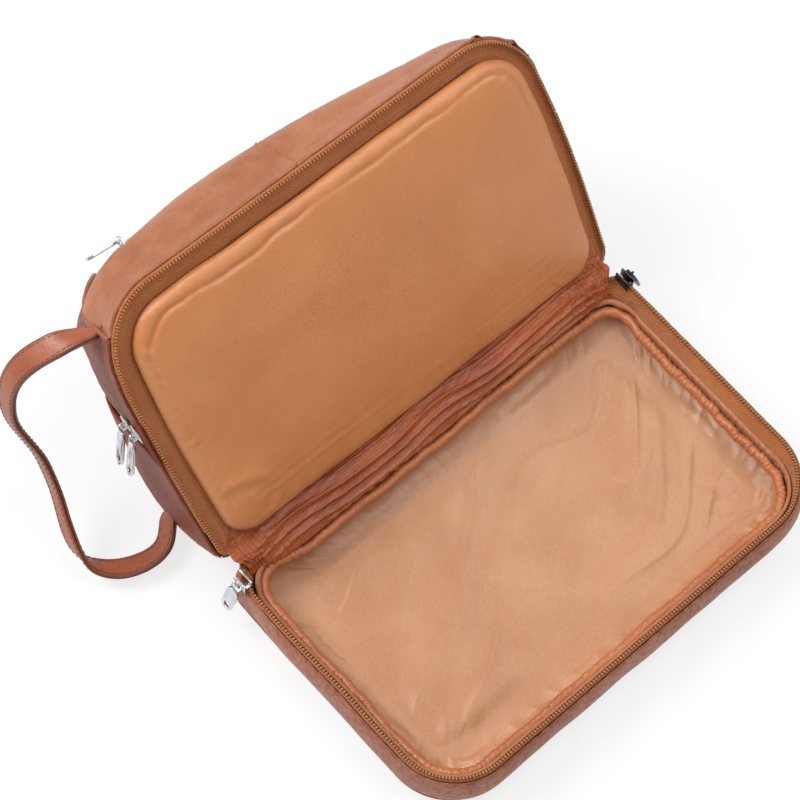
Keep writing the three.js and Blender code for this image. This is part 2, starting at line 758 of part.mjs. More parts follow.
// The pocket's slider, on the first straight stretch of its zip after the left corner
function pocketSlider() {
  const [corner, next] = frontBase(leather / 2).slice(cornerSteps, cornerSteps + 2);
  const point = (base, row) => domePoint(base, row, leather / 2);
  const travel = point(corner, pocketZipShare).sub(point(next, pocketZipShare));
  const share = (sliderLength / 2 + pocketSliderInset) / travel.length();
  const base = corner.clone().lerp(next, share);
  const at = point(corner, pocketZipShare).lerp(point(next, pocketZipShare), share);
  const climb = point(base, pocketHighRow).sub(point(base, pocketLowRow));
  const outward = travel.clone().cross(climb).negate().normalize();
  return placed(slider('pocket', pocketPullDegrees, Math.PI / 2), travel.normalize(), outward, at);
}

// The handle: a strap sewn into the front and rear seams of the left gusset, drawn as it
// flops. Each row of shares is a place on its way: how far out, how far along from the front
// end to the rear one, and how far it sags towards the top of the bag.
const strapShares = [
  [0, 0, 0],
  [0.3, -0.01, 0.2],
  [0.6, 0.03, 0.8],
  [0.79, 0.15, 1.15],
  [0.85, 0.42, 1.3],
  [0.86, 0.62, 1.12],
  [0.96, 0.84, 0.5],
  [0.99, 0.94, 0.15],
  [0.8, 1, -0.15],
  [0.42, 1.01, -0.15],
  [0, 1, 0],
];

// Stations of the strap's round ends, as shares of their radius
const roundEndShares = [0.02, 0.1, 0.3, 0.6, 1];

// The place over a seam that is a given rise above the frame
function seamPoint(corner, share, rise, lift) {
  const miss = (point) => Math.abs(point.z - shelfZ - rise);
  const points = spread(pathSteps).map((row) => overSeam(corner, share, row, lift));
  return points.reduce((best, point) => (miss(point) < miss(best) ? point : best));
}

const strapOut = weltRadius * 2 + clearance * 4;
const strapFront = seamPoint(corners.frontLeft, frontSeamShare, strapFrontRise, strapOut);
const strapRear = seamPoint(corners.hingeLeft, 1 - hingeSeamShare, strapRearRise, strapOut);

function strapRoute() {
  return new THREE.CatmullRomCurve3(strapShares.map(([out, along, sag]) => {
    const point = strapFront.clone().lerp(strapRear, along);
    point.x -= out * strapReach;
    point.z += sag * strapSag;
    return point;
  }));
}

// One layer of the strap, between two distances from its middle. Its width lies along the
// bag's height, and both of its ends are round.
function strapLayer(near, far) {
  const route = strapRoute();
  const length = route.getLength();
  const radius = strapWidth / 2;
  const ends = roundEndShares.map((share) => share * radius / length);
  const middleStart = (radius + strapWidth / strapSteps) / length;
  const middle = spread(strapSteps).filter((t) => t > middleStart && t < 1 - middleStart);
  const stations = [...ends, ...middle, ...ends.map((t) => 1 - t).reverse()];
  const columns = stations.map((t) => {
    const fromEnd = Math.min(Math.min(t, 1 - t) * length, radius);
    const half = Math.sqrt(radius * radius - (radius - fromEnd) * (radius - fromEnd));
    const along = route.getTangentAt(t);
    const across = upward.clone().addScaledVector(along, -upward.dot(along)).normalize();
    const normal = new THREE.Vector3().crossVectors(along, across);
    return { centre: route.getPointAt(t), across, normal, half };
  });
  const side = (offset) => columns.map(({ centre, across, normal, half }) => (
    [-half, half].map((reach) => centre.clone().addScaledVector(across, reach).addScaledVector(normal, offset))
  ));
  return sheet(side(near), side(far));
}

function addHandle(group) {
  group.add(
    piece('handle_strap', strapLayer(strapGap / 2, strapGap / 2 + strapThickness), leatherPaint),
    piece('handle_backing', strapLayer(-strapGap / 2, -strapGap / 2 - strapThickness), darkLeatherPaint),
  );
}

const root = new THREE.Group();
const tray = new THREE.Group();
const body = new THREE.Group();
const swing = new THREE.Group();
addShell(body);
addMainZip(body);
addZipEnds(body);
addPocketZip(body);
addWelts(body);
addMainLining(body);
addDivider(body);
addFrameZip(body);
addTray(tray);
addHinge(tray, body);
addSliders(tray, body);
addHandle(body);
body.position.y = -hingeY;
swing.position.y = hingeY;
swing.rotation.x = -openAngle;
swing.add(body);
root.add(tray, swing);

// The bag stands on its tray, with the origin at the bottom centre of its bounding box
const bounds = new THREE.Box3().setFromObject(root, true);
const centre = bounds.getCenter(new THREE.Vector3());
root.position.set(-centre.x, -centre.y, -bounds.min.z);

export default root;
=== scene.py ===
import math

import bmesh
import bpy
import numpy as np
from mathutils import Matrix, Vector


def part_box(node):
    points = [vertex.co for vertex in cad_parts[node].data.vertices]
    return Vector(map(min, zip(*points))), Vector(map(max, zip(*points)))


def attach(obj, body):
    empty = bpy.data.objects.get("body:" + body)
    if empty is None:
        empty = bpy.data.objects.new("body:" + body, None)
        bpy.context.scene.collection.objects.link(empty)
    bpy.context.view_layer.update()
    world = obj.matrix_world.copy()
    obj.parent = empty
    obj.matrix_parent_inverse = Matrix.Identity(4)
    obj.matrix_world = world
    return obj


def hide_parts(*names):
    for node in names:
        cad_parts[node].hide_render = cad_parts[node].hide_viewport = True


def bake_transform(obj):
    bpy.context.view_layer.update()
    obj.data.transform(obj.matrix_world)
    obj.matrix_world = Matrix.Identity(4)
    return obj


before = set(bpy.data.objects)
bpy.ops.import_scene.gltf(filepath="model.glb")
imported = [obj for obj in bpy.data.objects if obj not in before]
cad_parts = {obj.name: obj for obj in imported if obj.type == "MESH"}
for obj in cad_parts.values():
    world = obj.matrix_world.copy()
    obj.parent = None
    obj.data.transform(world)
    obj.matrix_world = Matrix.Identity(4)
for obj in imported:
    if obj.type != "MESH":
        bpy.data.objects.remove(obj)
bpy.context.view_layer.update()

# Sizes shared by the pieces, in mm, with both halves drawn closed on the parting plane
bag = {
    "width": 268, "depth": 164, "bodyHeight": 99, "openDegrees": 127, "hingeY": 1.8,
    "frontRadius": 36, "hingeRadius": 8, "slotHalf": 4.8, "leather": 1.8, "tape": 0.8,
    "rowGap": 1.6, "rowWidth": 2.1, "rowInset": 1.6, "toothThickness": 2.2,
}
halfWidth = bag["width"] / 2
centreY = -bag["depth"] / 2
shelfZ = bag["slotHalf"]
toothMiddle = bag["rowInset"] + bag["toothThickness"] / 2
rowNear = bag["rowGap"] / 2
rowFar = rowNear + bag["rowWidth"]

trayLow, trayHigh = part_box("tray_wall")
rootPlace = np.array([
    (trayLow[0] + trayHigh[0]) / 2, trayHigh[1], trayHigh[2] + bag["slotHalf"] / 1000,
])

# Wear pulls each rim's front edge and front left corner in, and bows the compartment's right
# side out, in mm. A shift fades with the height from the parting plane.
rim = {
    "bodyFront": 4.6, "bodyLeft": 2.6, "bodyPinch": 1.1, "bodyBow": 3.4, "bodyFade": (6, 40),
    "trayFront": 1.6, "trayLeft": 3.2, "trayFade": (12, 70),
}


# 0 up to low, 1 from high on, and 3 s^2 - 2 s^3 between them
def smooth(value, low, high):
    share = np.clip((value - low) / (high - low), 0, 1)
    return share * share * (3 - 2 * share)


# 1 from fullStart to fullEnd, with smooth ways up from start and down to end
def between(value, start, fullStart, fullEnd, end):
    return smooth(value, start, fullStart) * (1 - smooth(value, fullEnd, end))


# Half a sine wave over 0 to span, and 0 beyond it
def arch(value, span=1.0):
    return np.sin(math.pi * np.clip(value / span, 0, 1))


# Points moved by the rim's wear: sideways and front shifts that grow smoothly to their edge
def settled(points, half):
    points = np.asarray(points, float)
    x, y, z = np.moveaxis(points, -1, 0)
    kept = 1 - smooth(np.abs(z), *rim[f"{half}Fade"])
    left, right = smooth(-x, 20, halfWidth), smooth(x, 20, halfWidth)
    along = np.clip(-y / bag["depth"], 0, 1)
    if half == "body":
        inLeft = rim["bodyLeft"] * smooth(along, 0.68, 0.88) - rim["bodyPinch"] * arch(along, 0.76)
        shiftX = left * inLeft + right * rim["bodyBow"] * arch(along, 0.92) ** 1.2
        shiftY = rim["bodyFront"] * smooth(along, 0.42, 0.97)
    else:
        inLeft = 0.65 * smooth(along, 0.2, 0.58) + 0.35 * smooth(along, 0.6, 0.85)
        shiftX = left * rim["trayLeft"] * inLeft
        shiftY = rim["trayFront"] * smooth(along, 0.6, 0.97)
    return np.stack([x + shiftX * kept, y + shiftY * kept, z], axis=-1)


# Tray points from mm to the frame's metres
def trayRow(points):
    return settled(points, "tray") / 1000 + rootPlace


# A turn about the hinge line, which opens the compartment
def opened(points):
    turn = math.radians(bag["openDegrees"])
    y, z = points[..., 1] - bag["hingeY"], points[..., 2]
    return np.stack([
        points[..., 0],
        bag["hingeY"] + y * math.cos(turn) + z * math.sin(turn),
        -y * math.sin(turn) + z * math.cos(turn),
    ], axis=-1)


# Compartment points from mm, drawn closed, to the frame's metres
def bodyRow(points):
    return opened(settled(points, "body")) / 1000 + rootPlace


# Directions of the compartment, turned with it
def turned(vectors):
    return opened(np.asarray(vectors)) - opened(np.zeros(3))


# Camera, at the place and angle of the photograph
view = {
    "place": (-338.99, -303.84, 1057.56), "azimuth": -48.13, "elevation": 66.71,
    "roll": 7.486, "lens": 100.19, "sensor": 36, "shift": (-0.0373, 0.0177), "far": 20,
}
azimuth, elevation, roll = (math.radians(view[key]) for key in ("azimuth", "elevation", "roll"))
backward = Vector((
    math.sin(azimuth) * math.cos(elevation), -math.cos(azimuth) * math.cos(elevation),
    math.sin(elevation),
))
levelRight = (-backward).cross(Vector((0, 0, 1))).normalized()
levelUp = levelRight.cross(-backward)
rightward = levelRight * math.cos(roll) + levelUp * math.sin(roll)
upward = levelUp * math.cos(roll) - levelRight * math.sin(roll)
cameraData = bpy.data.cameras.new("camera")
cameraData.sensor_width = view["sensor"]
cameraData.lens = view["lens"]
cameraData.shift_x, cameraData.shift_y = view["shift"]
cameraData.clip_end = view["far"]
camera = bpy.data.objects.new("camera", cameraData)
cameraTurn = Matrix((rightward, upward, backward)).transposed().to_4x4()
camera.matrix_world = Matrix.Translation(np.array(view["place"]) / 1000 + rootPlace) @ cameraTurn
bpy.context.scene.collection.objects.link(camera)
bpy.context.scene.camera = camera
bpy.context.scene.view_settings.view_transform = "Standard"
print("camera set")


# One shader socket; plain arithmetic on it adds Math nodes
class Shade:
    def __init__(self, tree, socket):
        self.tree, self.socket = tree, socket

    def math(self, operation, *others):
        node = self.tree.nodes.new("ShaderNodeMath")
        node.operation = operation
        for index, value in enumerate(others):
            if isinstance(value, Shade):
                self.tree.links.new(value.socket, node.inputs[index])
            else:
                node.inputs[index].default_value = value
        return Shade(self.tree, node.outputs[0])

    def clamped(self):
        return self.math("MINIMUM", self.math("MAXIMUM", self, 0), 1)

    def sine(self):
        return self.math("SINE", self)

    def size(self):
        return self.math("ABSOLUTE", self)

    def step(self, low, high):
        share = ((self - low) / (high - low)).clamped()
        return share * share * (3 - 2 * share)


def arithmetic(operation, swapped):
    def apply(self, other):
        return self.math(operation, *((other, self) if swapped else (self, other)))
    return apply


for sign, operation in (
    ("add", "ADD"), ("sub", "SUBTRACT"), ("mul", "MULTIPLY"), ("truediv", "DIVIDE"), ("pow", "POWER"),
):
    setattr(Shade, f"__{sign}__", arithmetic(operation, False))
    setattr(Shade, f"__r{sign}__", arithmetic(operation, True))


# A material being put together from nodes
class Finish:
    def __init__(self, name):
        self.material = bpy.data.materials.new(name)
        self.material.use_nodes = True
        self.tree = self.material.node_tree
        self.tree.nodes.clear()

    def node(self, kind, settings=None, values=None, output=0):
        made = self.tree.nodes.new(kind)
        for key, value in (settings or {}).items():
            setattr(made, key, value)
        for key, value in (values or {}).items():
            if isinstance(value, Shade):
                self.tree.links.new(value.socket, made.inputs[key])
            else:
                made.inputs[key].default_value = value
        return Shade(self.tree, made.outputs[output]) if made.outputs else made

    def place(self):
        return self.node("ShaderNodeTexCoord", output="Object")

    def parts(self, vector):
        return [self.node("ShaderNodeSeparateXYZ", None, {0: vector}, axis) for axis in range(3)]

    def cloth(self):
        return self.node("ShaderNodeUVMap", {"uv_map": "cloth"})

    def scaled(self, vector, factors):
        return self.node("ShaderNodeVectorMath", {"operation": "MULTIPLY"}, {0: vector, 1: factors})

    def noise(self, vector, scale, detail=3, roughness=0.5):
        values = {"Vector": vector, "Scale": scale, "Detail": detail, "Roughness": roughness}
        return self.node("ShaderNodeTexNoise", None, values)

    def cells(self, vector, scale, feature="F1"):
        values = {"Vector": vector, "Scale": scale, "Randomness": 1}
        return self.node("ShaderNodeTexVoronoi", {"feature": feature}, values)

    def own(self, attribute):
        return self.node("ShaderNodeAttribute", {"attribute_name": attribute}, output="Fac")

    def blend(self, factor, *tones):
        first, second = ((*tone, 1) if isinstance(tone, tuple) else tone for tone in tones)
        settings = {"data_type": "RGBA", "blend_type": "MIX"}
        return self.node("ShaderNodeMix", settings, {0: factor, 6: first, 7: second}, 2)

    def bumped(self, height, distance, strength=1, under=None):
        values = {"Height": height, "Distance": distance, "Strength": strength}
        if under is not None:
            values["Normal"] = under
        return self.node("ShaderNodeBump", None, values)

    def done(self, tone, rough, normal, **others):
        values = {"Base Color": tone, "Roughness": rough, "Normal": normal}
        values.update({key.replace("_", " "): value for key, value in others.items()})
        surface = self.node("ShaderNodeBsdfPrincipled", None, values)
        self.node("ShaderNodeOutputMaterial", None, {"Surface": surface})
        return self.material


# A look's tones as they show on screen, turned to the linear ones that the shader takes
def tonesOf(look):
    return [
        tuple(((c / 255 + 0.055) / 1.055) ** 2.4 if c > 10 else c / 255 / 12.92 for c in tone)
        for tone in look["tones"]
    ]


# How many turns a wave of a length in mm makes over a metre, in radians
def turns(wave):
    return 2 * math.pi * 1000 / wave


# Leather: pebbles in two sizes with darker valleys, soft creases, cloudy colour, blotches that are
# partly mottle and partly painted soft highlight, burnished edges
def leatherFinish(name, look):
    f = Finish(name)
    base, deep, light, dark = tonesOf(look)
    place = f.place()
    pebble = f.cells(place, 1000 / look["pebble"], "SMOOTH_F1")
    fine = f.cells(place, 2600 / look["pebble"])
    crease = f.noise(place, 1000 / look["crease"], 4, 0.6)
    valley = (pebble * 1.5).clamped()
    cloud = f.noise(place, 20, 3, 0.55).step(0.3, 0.7)
    mottleAndHighlight = f.noise(place, 95, 2).step(0.35, 0.75)
    edge = f.own("edge").step(0.3, 2.6)
    tone = f.blend(cloud, deep, base)
    # Blotches of the light tone: partly the leather's own mottle, partly a painted soft highlight
    tone = f.blend(mottleAndHighlight * look["mottleAndHighlight"], tone, light)
    tone = f.blend((valley ** 2) * look["valley"], tone, dark)
    tone = f.blend((1 - edge) * look["burnish"], tone, dark)
    grain = (1 - valley) * 0.8 + (1 - fine) * 0.2 + crease * look["creaseShare"]
    rough = look["rough"] + valley * 0.12 + (crease - 0.5) * 0.14
    return f.done(
        tone, rough, f.bumped(grain, look["relief"] / 1000), Specular_IOR_Level=look["gloss"],
        Coat_Weight=look["coat"] * (0.5 + 0.5 * cloud), Coat_Roughness=0.36,
    )


# Satin: fine twill lines on the cloth's own map, crinkles, cloudy colour and a soft sheen. The
# painted shade is a darker tone that grows with the height above the floor, on the rim and wall.
def satinFinish(name, look):
    f = Finish(name)
    base, deep, light, dark = tonesOf(look)
    place, cloth = f.place(), f.cloth()
    across, along, _ = f.parts(cloth)
    twill = ((across + along) * turns(look["thread"])).sine()
    weft = ((across - along * 0.4) * turns(look["thread"] * 1.7)).sine()
    slub = f.noise(f.scaled(cloth, (1, 0.16, 1)), 1300, 3, 0.6)
    crinkle = f.noise(place, 1000 / look["crinkle"], 4, 0.62)
    ridges = 1 - (f.noise(place, 1000 / (look["crinkle"] * 2.6), 2) - 0.5).size() * 4
    cloud = f.noise(place, 22, 3, 0.55).step(0.3, 0.7)
    speck = f.noise(place, 1500, 2).step(0.45, 0.75)
    height = f.parts(place)[2]
    tone = f.blend(cloud, deep, base)
    tone = f.blend(speck * look["speck"], tone, light)
    tone = f.blend((slub - 0.35).clamped() * 0.4, tone, dark)
    # Painted shade: the tone darkens with height, where the tray's rim and wall lie in shade
    tone = f.blend(height.step(*look["paintedShadeSpan"]) * look["paintedShade"], tone, dark)
    under = f.bumped(crinkle * 0.7 + ridges * 0.3, look["relief"] / 1000)
    return f.done(
        tone, look["rough"] + (slub - 0.5) * 0.2,
        f.bumped(twill * 0.5 + weft * 0.25 + slub, 0.00006, 0.7, under),
        Specular_IOR_Level=look["gloss"], Sheen_Weight=look["sheen"], Sheen_Roughness=0.35,
        Sheen_Tint=(1, 0.86, 0.74, 1),
    )


# Zip tape: a herringbone in narrow columns, a ribbed cord line and lint
def tapeFinish(name, look):
    f = Finish(name)
    base, light, dark = tonesOf(look)
    along, across, _ = f.parts(f.cloth())
    column = (across * turns(look["column"])).sine()
    side = column.step(-0.15, 0.15) * 2 - 1
    bone = ((along + across * side) * turns(look["rib"])).sine()
    rows = (along * turns(look["row"])).sine()
    cloud = f.noise(f.place(), 60)
    tone = f.blend(bone.step(-0.6, 0.8), dark, base)
    tone = f.blend((cloud - 0.35).clamped() * 0.8, tone, light)
    return f.done(
        tone, 0.72 + (cloud - 0.5) * 0.2, f.bumped(bone * 0.7 + rows * 0.3 + column * 0.3, 0.00016),
        Sheen_Weight=0.25, Sheen_Roughness=0.45, Specular_IOR_Level=0.35,
    )


# Moulded coil: a warm translucent brown, lighter towards the heads
def teethFinish(name, look):
    f = Finish(name)
    base, light, dark = tonesOf(look)
    place = f.place()
    mottle = f.noise(place, 420)
    scuff = f.noise(f.scaled(place, (1, 1, 2.5)), 2200, 2)
    tone = f.blend(mottle.step(0.3, 0.7), dark, base)
    tone = f.blend(f.own("head") * 0.55, tone, light)
    normal = f.bumped(scuff, 0.00005, 0.6)
    return f.done(tone, 0.34 + scuff * 0.2, normal, Specular_IOR_Level=0.5)


# Plated metal: fine scratches one way, smears and duller hollows
def metalFinish(name, look):
    f = Finish(name)
    place = f.place()
    scratch = f.noise(f.scaled(place, (1, 9, 1)), 1700, 3, 0.65)
    smear = f.noise(place, 240)
    tone = f.blend(smear.step(0.3, 0.75), look["deep"], look["base"])
    rough = look["rough"] + smear * 0.14 + (scratch - 0.5) * 0.08
    return f.done(tone, rough, f.bumped(scratch, 0.00003, 0.5), Metallic=1.0)


# Millboard: pressed fibres and flecks
def boardFinish(name, look):
    f = Finish(name)
    base, light, dark = tonesOf(look)
    place = f.place()
    fibre = f.noise(f.scaled(place, (1, 6, 1)), 500, 4, 0.65)
    fleck = f.noise(place, 900, 2).step(0.6, 0.7)
    tone = f.blend(fibre.step(0.3, 0.7), dark, base)
    tone = f.blend(fleck * 0.5, tone, light)
    return f.done(tone, 0.85 + fibre * 0.1, f.bumped(fibre, 0.0001, 0.8))


# Thread: plied strands that wind round the stitch
def threadFinish(name, look):
    f = Finish(name)
    base, dark = tonesOf(look)
    along, around, _ = f.parts(f.cloth())
    ply = ((along * 2200 + around) * (2 * math.pi)).sine()
    tone = f.blend(ply.step(-0.7, 0.7), dark, base)
    return f.done(tone, 0.55 + ply * 0.08, f.bumped(ply, 0.00008, 0.8), Sheen_Weight=0.2)


# Looks. Tones are base, deep, light and dark in leather and satin, base, light and dark in tape,
# teeth and board, and base and dark in thread; pebble, crease, relief and threads are in mm.
skinLook = {
    "tones": ((166, 102, 64), (150, 86, 50), (186, 128, 98), (110, 58, 36)),
    "pebble": 1.25, "valley": 0.2, "crease": 9, "creaseShare": 0.7, "relief": 0.09, "rough": 0.38,
    "gloss": 0.5, "burnish": 0.12, "mottleAndHighlight": 0.3, "coat": 0.16,
}
sideLook = {
    **skinLook, "tones": ((132, 62, 38), (118, 50, 30), (150, 78, 52), (78, 34, 22)),
    "pebble": 1.5, "relief": 0.12, "valley": 0.3, "gloss": 0.2, "rough": 0.46, "coat": 0.0,
}
trayLook = {
    **skinLook, "tones": ((174, 110, 80), (156, 88, 62), (196, 140, 112), (112, 62, 48)),
    "pebble": 2.1, "relief": 0.3, "valley": 0.6, "rough": 0.42, "gloss": 0.32, "coat": 0.03,
}
strapLook = {
    **skinLook, "tones": ((156, 84, 50), (142, 72, 42), (176, 108, 74), (104, 46, 28)),
    "burnish": 0.75, "pebble": 1.0,
}
pipingLook = {
    **skinLook, "tones": ((152, 84, 60), (134, 68, 48), (174, 108, 82), (92, 44, 30)),
    "pebble": 1.0, "relief": 0.1, "burnish": 0,
}
satinLook = {
    "tones": ((206, 131, 70), (198, 121, 60), (222, 158, 108), (170, 98, 48)),
    "thread": 0.6, "crinkle": 5, "relief": 0.2, "rough": 0.38, "gloss": 0.5, "sheen": 0.22,
    "speck": 0.2, "paintedShade": 0, "paintedShadeSpan": (0.009, 0.023),
}
# The tray's satin takes painted shade that darkens its rim and wall
traySatinLook = {
    **satinLook, "tones": ((193, 138, 98), (180, 123, 82), (216, 168, 134), (158, 88, 46)),
    "relief": 0.28, "speck": 0.3, "gloss": 0.8, "rough": 0.36, "sheen": 0.12, "paintedShade": 0.75,
}
gatheredLook = {
    **satinLook, "tones": ((178, 92, 44), (150, 70, 32), (208, 132, 80), (116, 50, 22)),
    "rough": 0.28, "gloss": 0.55, "sheen": 0,
}
casingLook = {
    **satinLook, "tones": ((188, 110, 62), (168, 92, 48), (212, 142, 94), (128, 62, 30)),
    "rough": 0.32, "gloss": 0.7, "sheen": 0,
}
tapeLook = {
    "tones": ((194, 116, 60), (210, 138, 82), (164, 92, 46)), "column": 3.2, "rib": 1.3, "row": 0.9,
}
sideTapeLook = {**tapeLook, "tones": ((118, 62, 40), (136, 80, 56), (92, 46, 30))}
teethLook = {"tones": ((160, 98, 50), (178, 120, 68), (132, 78, 40))}
boardLook = {"tones": ((132, 112, 90), (168, 150, 126), (98, 80, 62))}
threadLook = {"tones": ((182, 112, 76), (136, 76, 50))}
chromeLook = {"base": (0.78, 0.78, 0.8), "deep": (0.6, 0.6, 0.63), "rough": 0.14}
gunmetalLook = {"base": (0.1, 0.12, 0.14), "deep": (0.045, 0.055, 0.065), "rough": 0.26}

bodyLeather, sideLeather, trayLeather, strapLeather, pipingLeather = (
    leatherFinish(f"{name}Leather", look) for name, look in (
        ("body", skinLook), ("side", sideLook), ("tray", trayLook), ("strap", strapLook),
        ("piping", pipingLook),
    )
)
padSatin, traySatin, gatheredSatin, casingSatin, innerSatin = (
    satinFinish(f"{name}Satin", look) for name, look in (
        ("pad", {**satinLook, "gloss": 0.9, "rough": 0.36}), ("tray", traySatinLook),
        ("gathered", gatheredLook), ("casing", casingLook), ("inner", {**satinLook, "relief": 0.5}),
    )
)
zipTape = tapeFinish("zipTape", tapeLook)
sideTape = tapeFinish("sideTape", sideTapeLook)
zipTeeth = teethFinish("zipTeeth", teethLook)
chrome = metalFinish("chrome", chromeLook)
gunmetal = metalFinish("gunmetal", gunmetalLook)
millboard = boardFinish("millboard", boardLook)
thread = threadFinish("thread", threadLook)
print("materials made")


# A mesh from points and faces (arrays of quads and of triangles), with a map and attributes
def buildMesh(name, points, faces, cornerMap=None, attributes=None):
    mesh = bpy.data.meshes.new(name)
    sizes = np.concatenate([np.full(len(part), part.shape[1]) for part in faces])
    corners = np.concatenate([part.ravel() for part in faces]).astype(np.int32)
    starts = np.concatenate([[0], np.cumsum(sizes)[:-1]]).astype(np.int32)
    mesh.vertices.add(len(points))
    mesh.vertices.foreach_set("co", np.asarray(points, np.float32).ravel())
    mesh.loops.add(len(corners))
    mesh.polygons.add(len(sizes))
    mesh.polygons.foreach_set("loop_start", starts)
    mesh.polygons.foreach_set("vertices", corners)
    mesh.polygons.foreach_set("use_smooth", np.ones(len(sizes), bool))
    if cornerMap is not None:
        uv = mesh.uv_layers.new(name="cloth").data
        uv.foreach_set("uv", np.asarray(cornerMap, np.float32).ravel())
    for key, values in (attributes or {}).items():
        own = mesh.attributes.new(key, "FLOAT", "POINT").data
        own.foreach_set("value", np.asarray(values, np.float32).ravel())
    mesh.update(calc_edges=True)
    mesh.validate()
    return mesh


# Puts a mesh, lamp or other data in the scene as an object
def inScene(name, data):
    made = bpy.data.objects.new(name, data)
    bpy.context.scene.collection.objects.link(made)
    return made


# Puts a mesh in the scene as a finished piece that rides on a body and stands for a CAD node
def addPiece(name, mesh, material, body, node=None, slot=None):
    piece = inScene(name, mesh)
    mesh.materials.append(material)
    if body:
        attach(piece, body)
    if node:
        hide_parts(node)
    return piece


# Changes a piece's mesh by a function of its bmesh
def edited(piece, change):
    work = bmesh.new()
    work.from_mesh(piece.data)
    change(work)
    work.to_mesh(piece.data)
    work.free()


# Closes the open ends of a tube-like grid, with all its faces pointing out
def capEnds(work):
    bmesh.ops.holes_fill(work, edges=[e for e in work.edges if e.is_boundary], sides=0)
    bmesh.ops.recalc_face_normals(work, faces=work.faces)


# Welds the points that meet on a middle line, so that the piece is one closed skin
def closeMiddle(work):
    bmesh.ops.remove_doubles(work, verts=work.verts, dist=0.00004)
    bmesh.ops.dissolve_degenerate(work, dist=0.00001, edges=work.edges)


# Reads a piece's map into an array; nothing is done with it
def declareSheet(piece):
    values = np.zeros(len(piece.data.loops) * 2, np.float32)
    piece.data.uv_layers["cloth"].data.foreach_get("uv", values)


# Vectors at length 1: each over its own length
def unit(vectors):
    return vectors / np.maximum(np.linalg.norm(vectors, axis=-1, keepdims=True), 1e-12)


# Directions along a path
def along3(points):
    return unit(np.gradient(points, axis=0))


# The length from a path's start to each of its points
def pathLength(path):
    return np.concatenate([[0], np.cumsum(np.linalg.norm(np.diff(path, axis=0), axis=1))])


# Points of a path at given lengths from its start
def resampled(path, at):
    length = pathLength(path)
    return np.stack([np.interp(at, length, column) for column in path.T], axis=1)


# Points of a path at every pitch, from half a pitch on
def spaced(path, pitch):
    return resampled(path, np.arange(pitch / 2, pathLength(path)[-1], pitch))


# Mean lengths from a grid's first line along one of its ways
def lengths(grid, axis):
    steps = np.linalg.norm(np.diff(grid, axis=axis), axis=-1)
    return np.concatenate([[0], np.cumsum(steps.mean(axis=1 - axis))])


# A flat layout of a grid, in metres: points from column start on keep their place from above,
# and those before it are laid out from there along a direction, by their length
def laidOut(grid, start, away):
    flat = grid[..., :2].copy()
    steps = np.linalg.norm(np.diff(grid[:, : start + 1], axis=1), axis=-1)
    left = np.cumsum(steps[:, ::-1], axis=1)[:, ::-1]
    flat[:, :start] = flat[:, start, None] + away[:, None] * left[..., None]
    return flat / 1000


# Quads of a grid of points: corner i, j joins i + 1, j, then i + 1, j + 1. With their i and j.
def gridQuads(wide, high, closedU=False, closedV=False):
    i, j = np.meshgrid(np.arange(wide - 1 + closedU), np.arange(high - 1 + closedV), indexing="ij")
    i, j = i.ravel(), j.ravel()
    nextI, nextJ = (i + 1) % wide, (j + 1) % high
    corners = (i * high + j, nextI * high + j, nextI * high + nextJ, i * high + nextJ)
    return np.stack(corners, axis=1), i, j


# A grid of points as one sheet. Its map is the mean length along each way, or the points' places
# in spread, a flat layout, and "edge" is the distance from an open edge, in mm.
def surface(name, grid, material, body, node=None, slot=None, closedU=False, closedV=False,
            thick=0, flip=False, edged=False, attributes=None, spread=None):
    wide, high = grid.shape[:2]
    quads, i, j = gridQuads(wide, high, closedU, closedV)
    looped = np.concatenate([grid, grid[:1]], axis=0) if closedU else grid
    looped = np.concatenate([looped, looped[:, :1]], axis=1) if closedV else looped
    u, v = lengths(looped, 0), lengths(looped, 1)
    corners = np.stack([
        np.stack([u[i + a], v[j + b]], axis=1) for a, b in ((0, 0), (1, 0), (1, 1), (0, 1))
    ], axis=1)
    if spread is not None:
        corners = spread.reshape(-1, 2)[quads]
    if flip:
        quads, corners = quads[:, ::-1], corners[:, ::-1]
    edge = np.full((wide, high), 50.0)
    if edged and not closedU:
        edge = np.minimum(edge, np.minimum(u, u[-1] - u)[:wide, None] * 1000)
    if edged and not closedV:
        edge = np.minimum(edge, np.minimum(v, v[-1] - v)[None, :high] * 1000)
    own = {"edge": edge, **(attributes or {})}
    mesh = buildMesh(name, grid.reshape(-1, 3), [quads], corners, own)
    piece = addPiece(name, mesh, material, body, node, slot)
    if thick:
        solid = piece.modifiers.new("thickness", "SOLIDIFY")
        solid.thickness = thick / 1000
        solid.offset = -1
        solid.use_quality_normals = True
    return piece


# Unit normals of a grid: the cross product of its two directions
def normals(grid):
    return unit(np.cross(np.gradient(grid, axis=0), np.gradient(grid, axis=1)))


# Copies of a small shape at places, each along its own three directions, with faces for each
def copied(shape, faces, places, directions):
    points = places[:, None] + sum(
        shape[None, :, axis, None] * way[:, None] for axis, way in enumerate(directions)
    )
    shift = (np.arange(len(places)) * len(shape))[:, None, None]
    return points.reshape(-1, 3), [(part[None] + shift).reshape(-1, part.shape[1]) for part in faces]


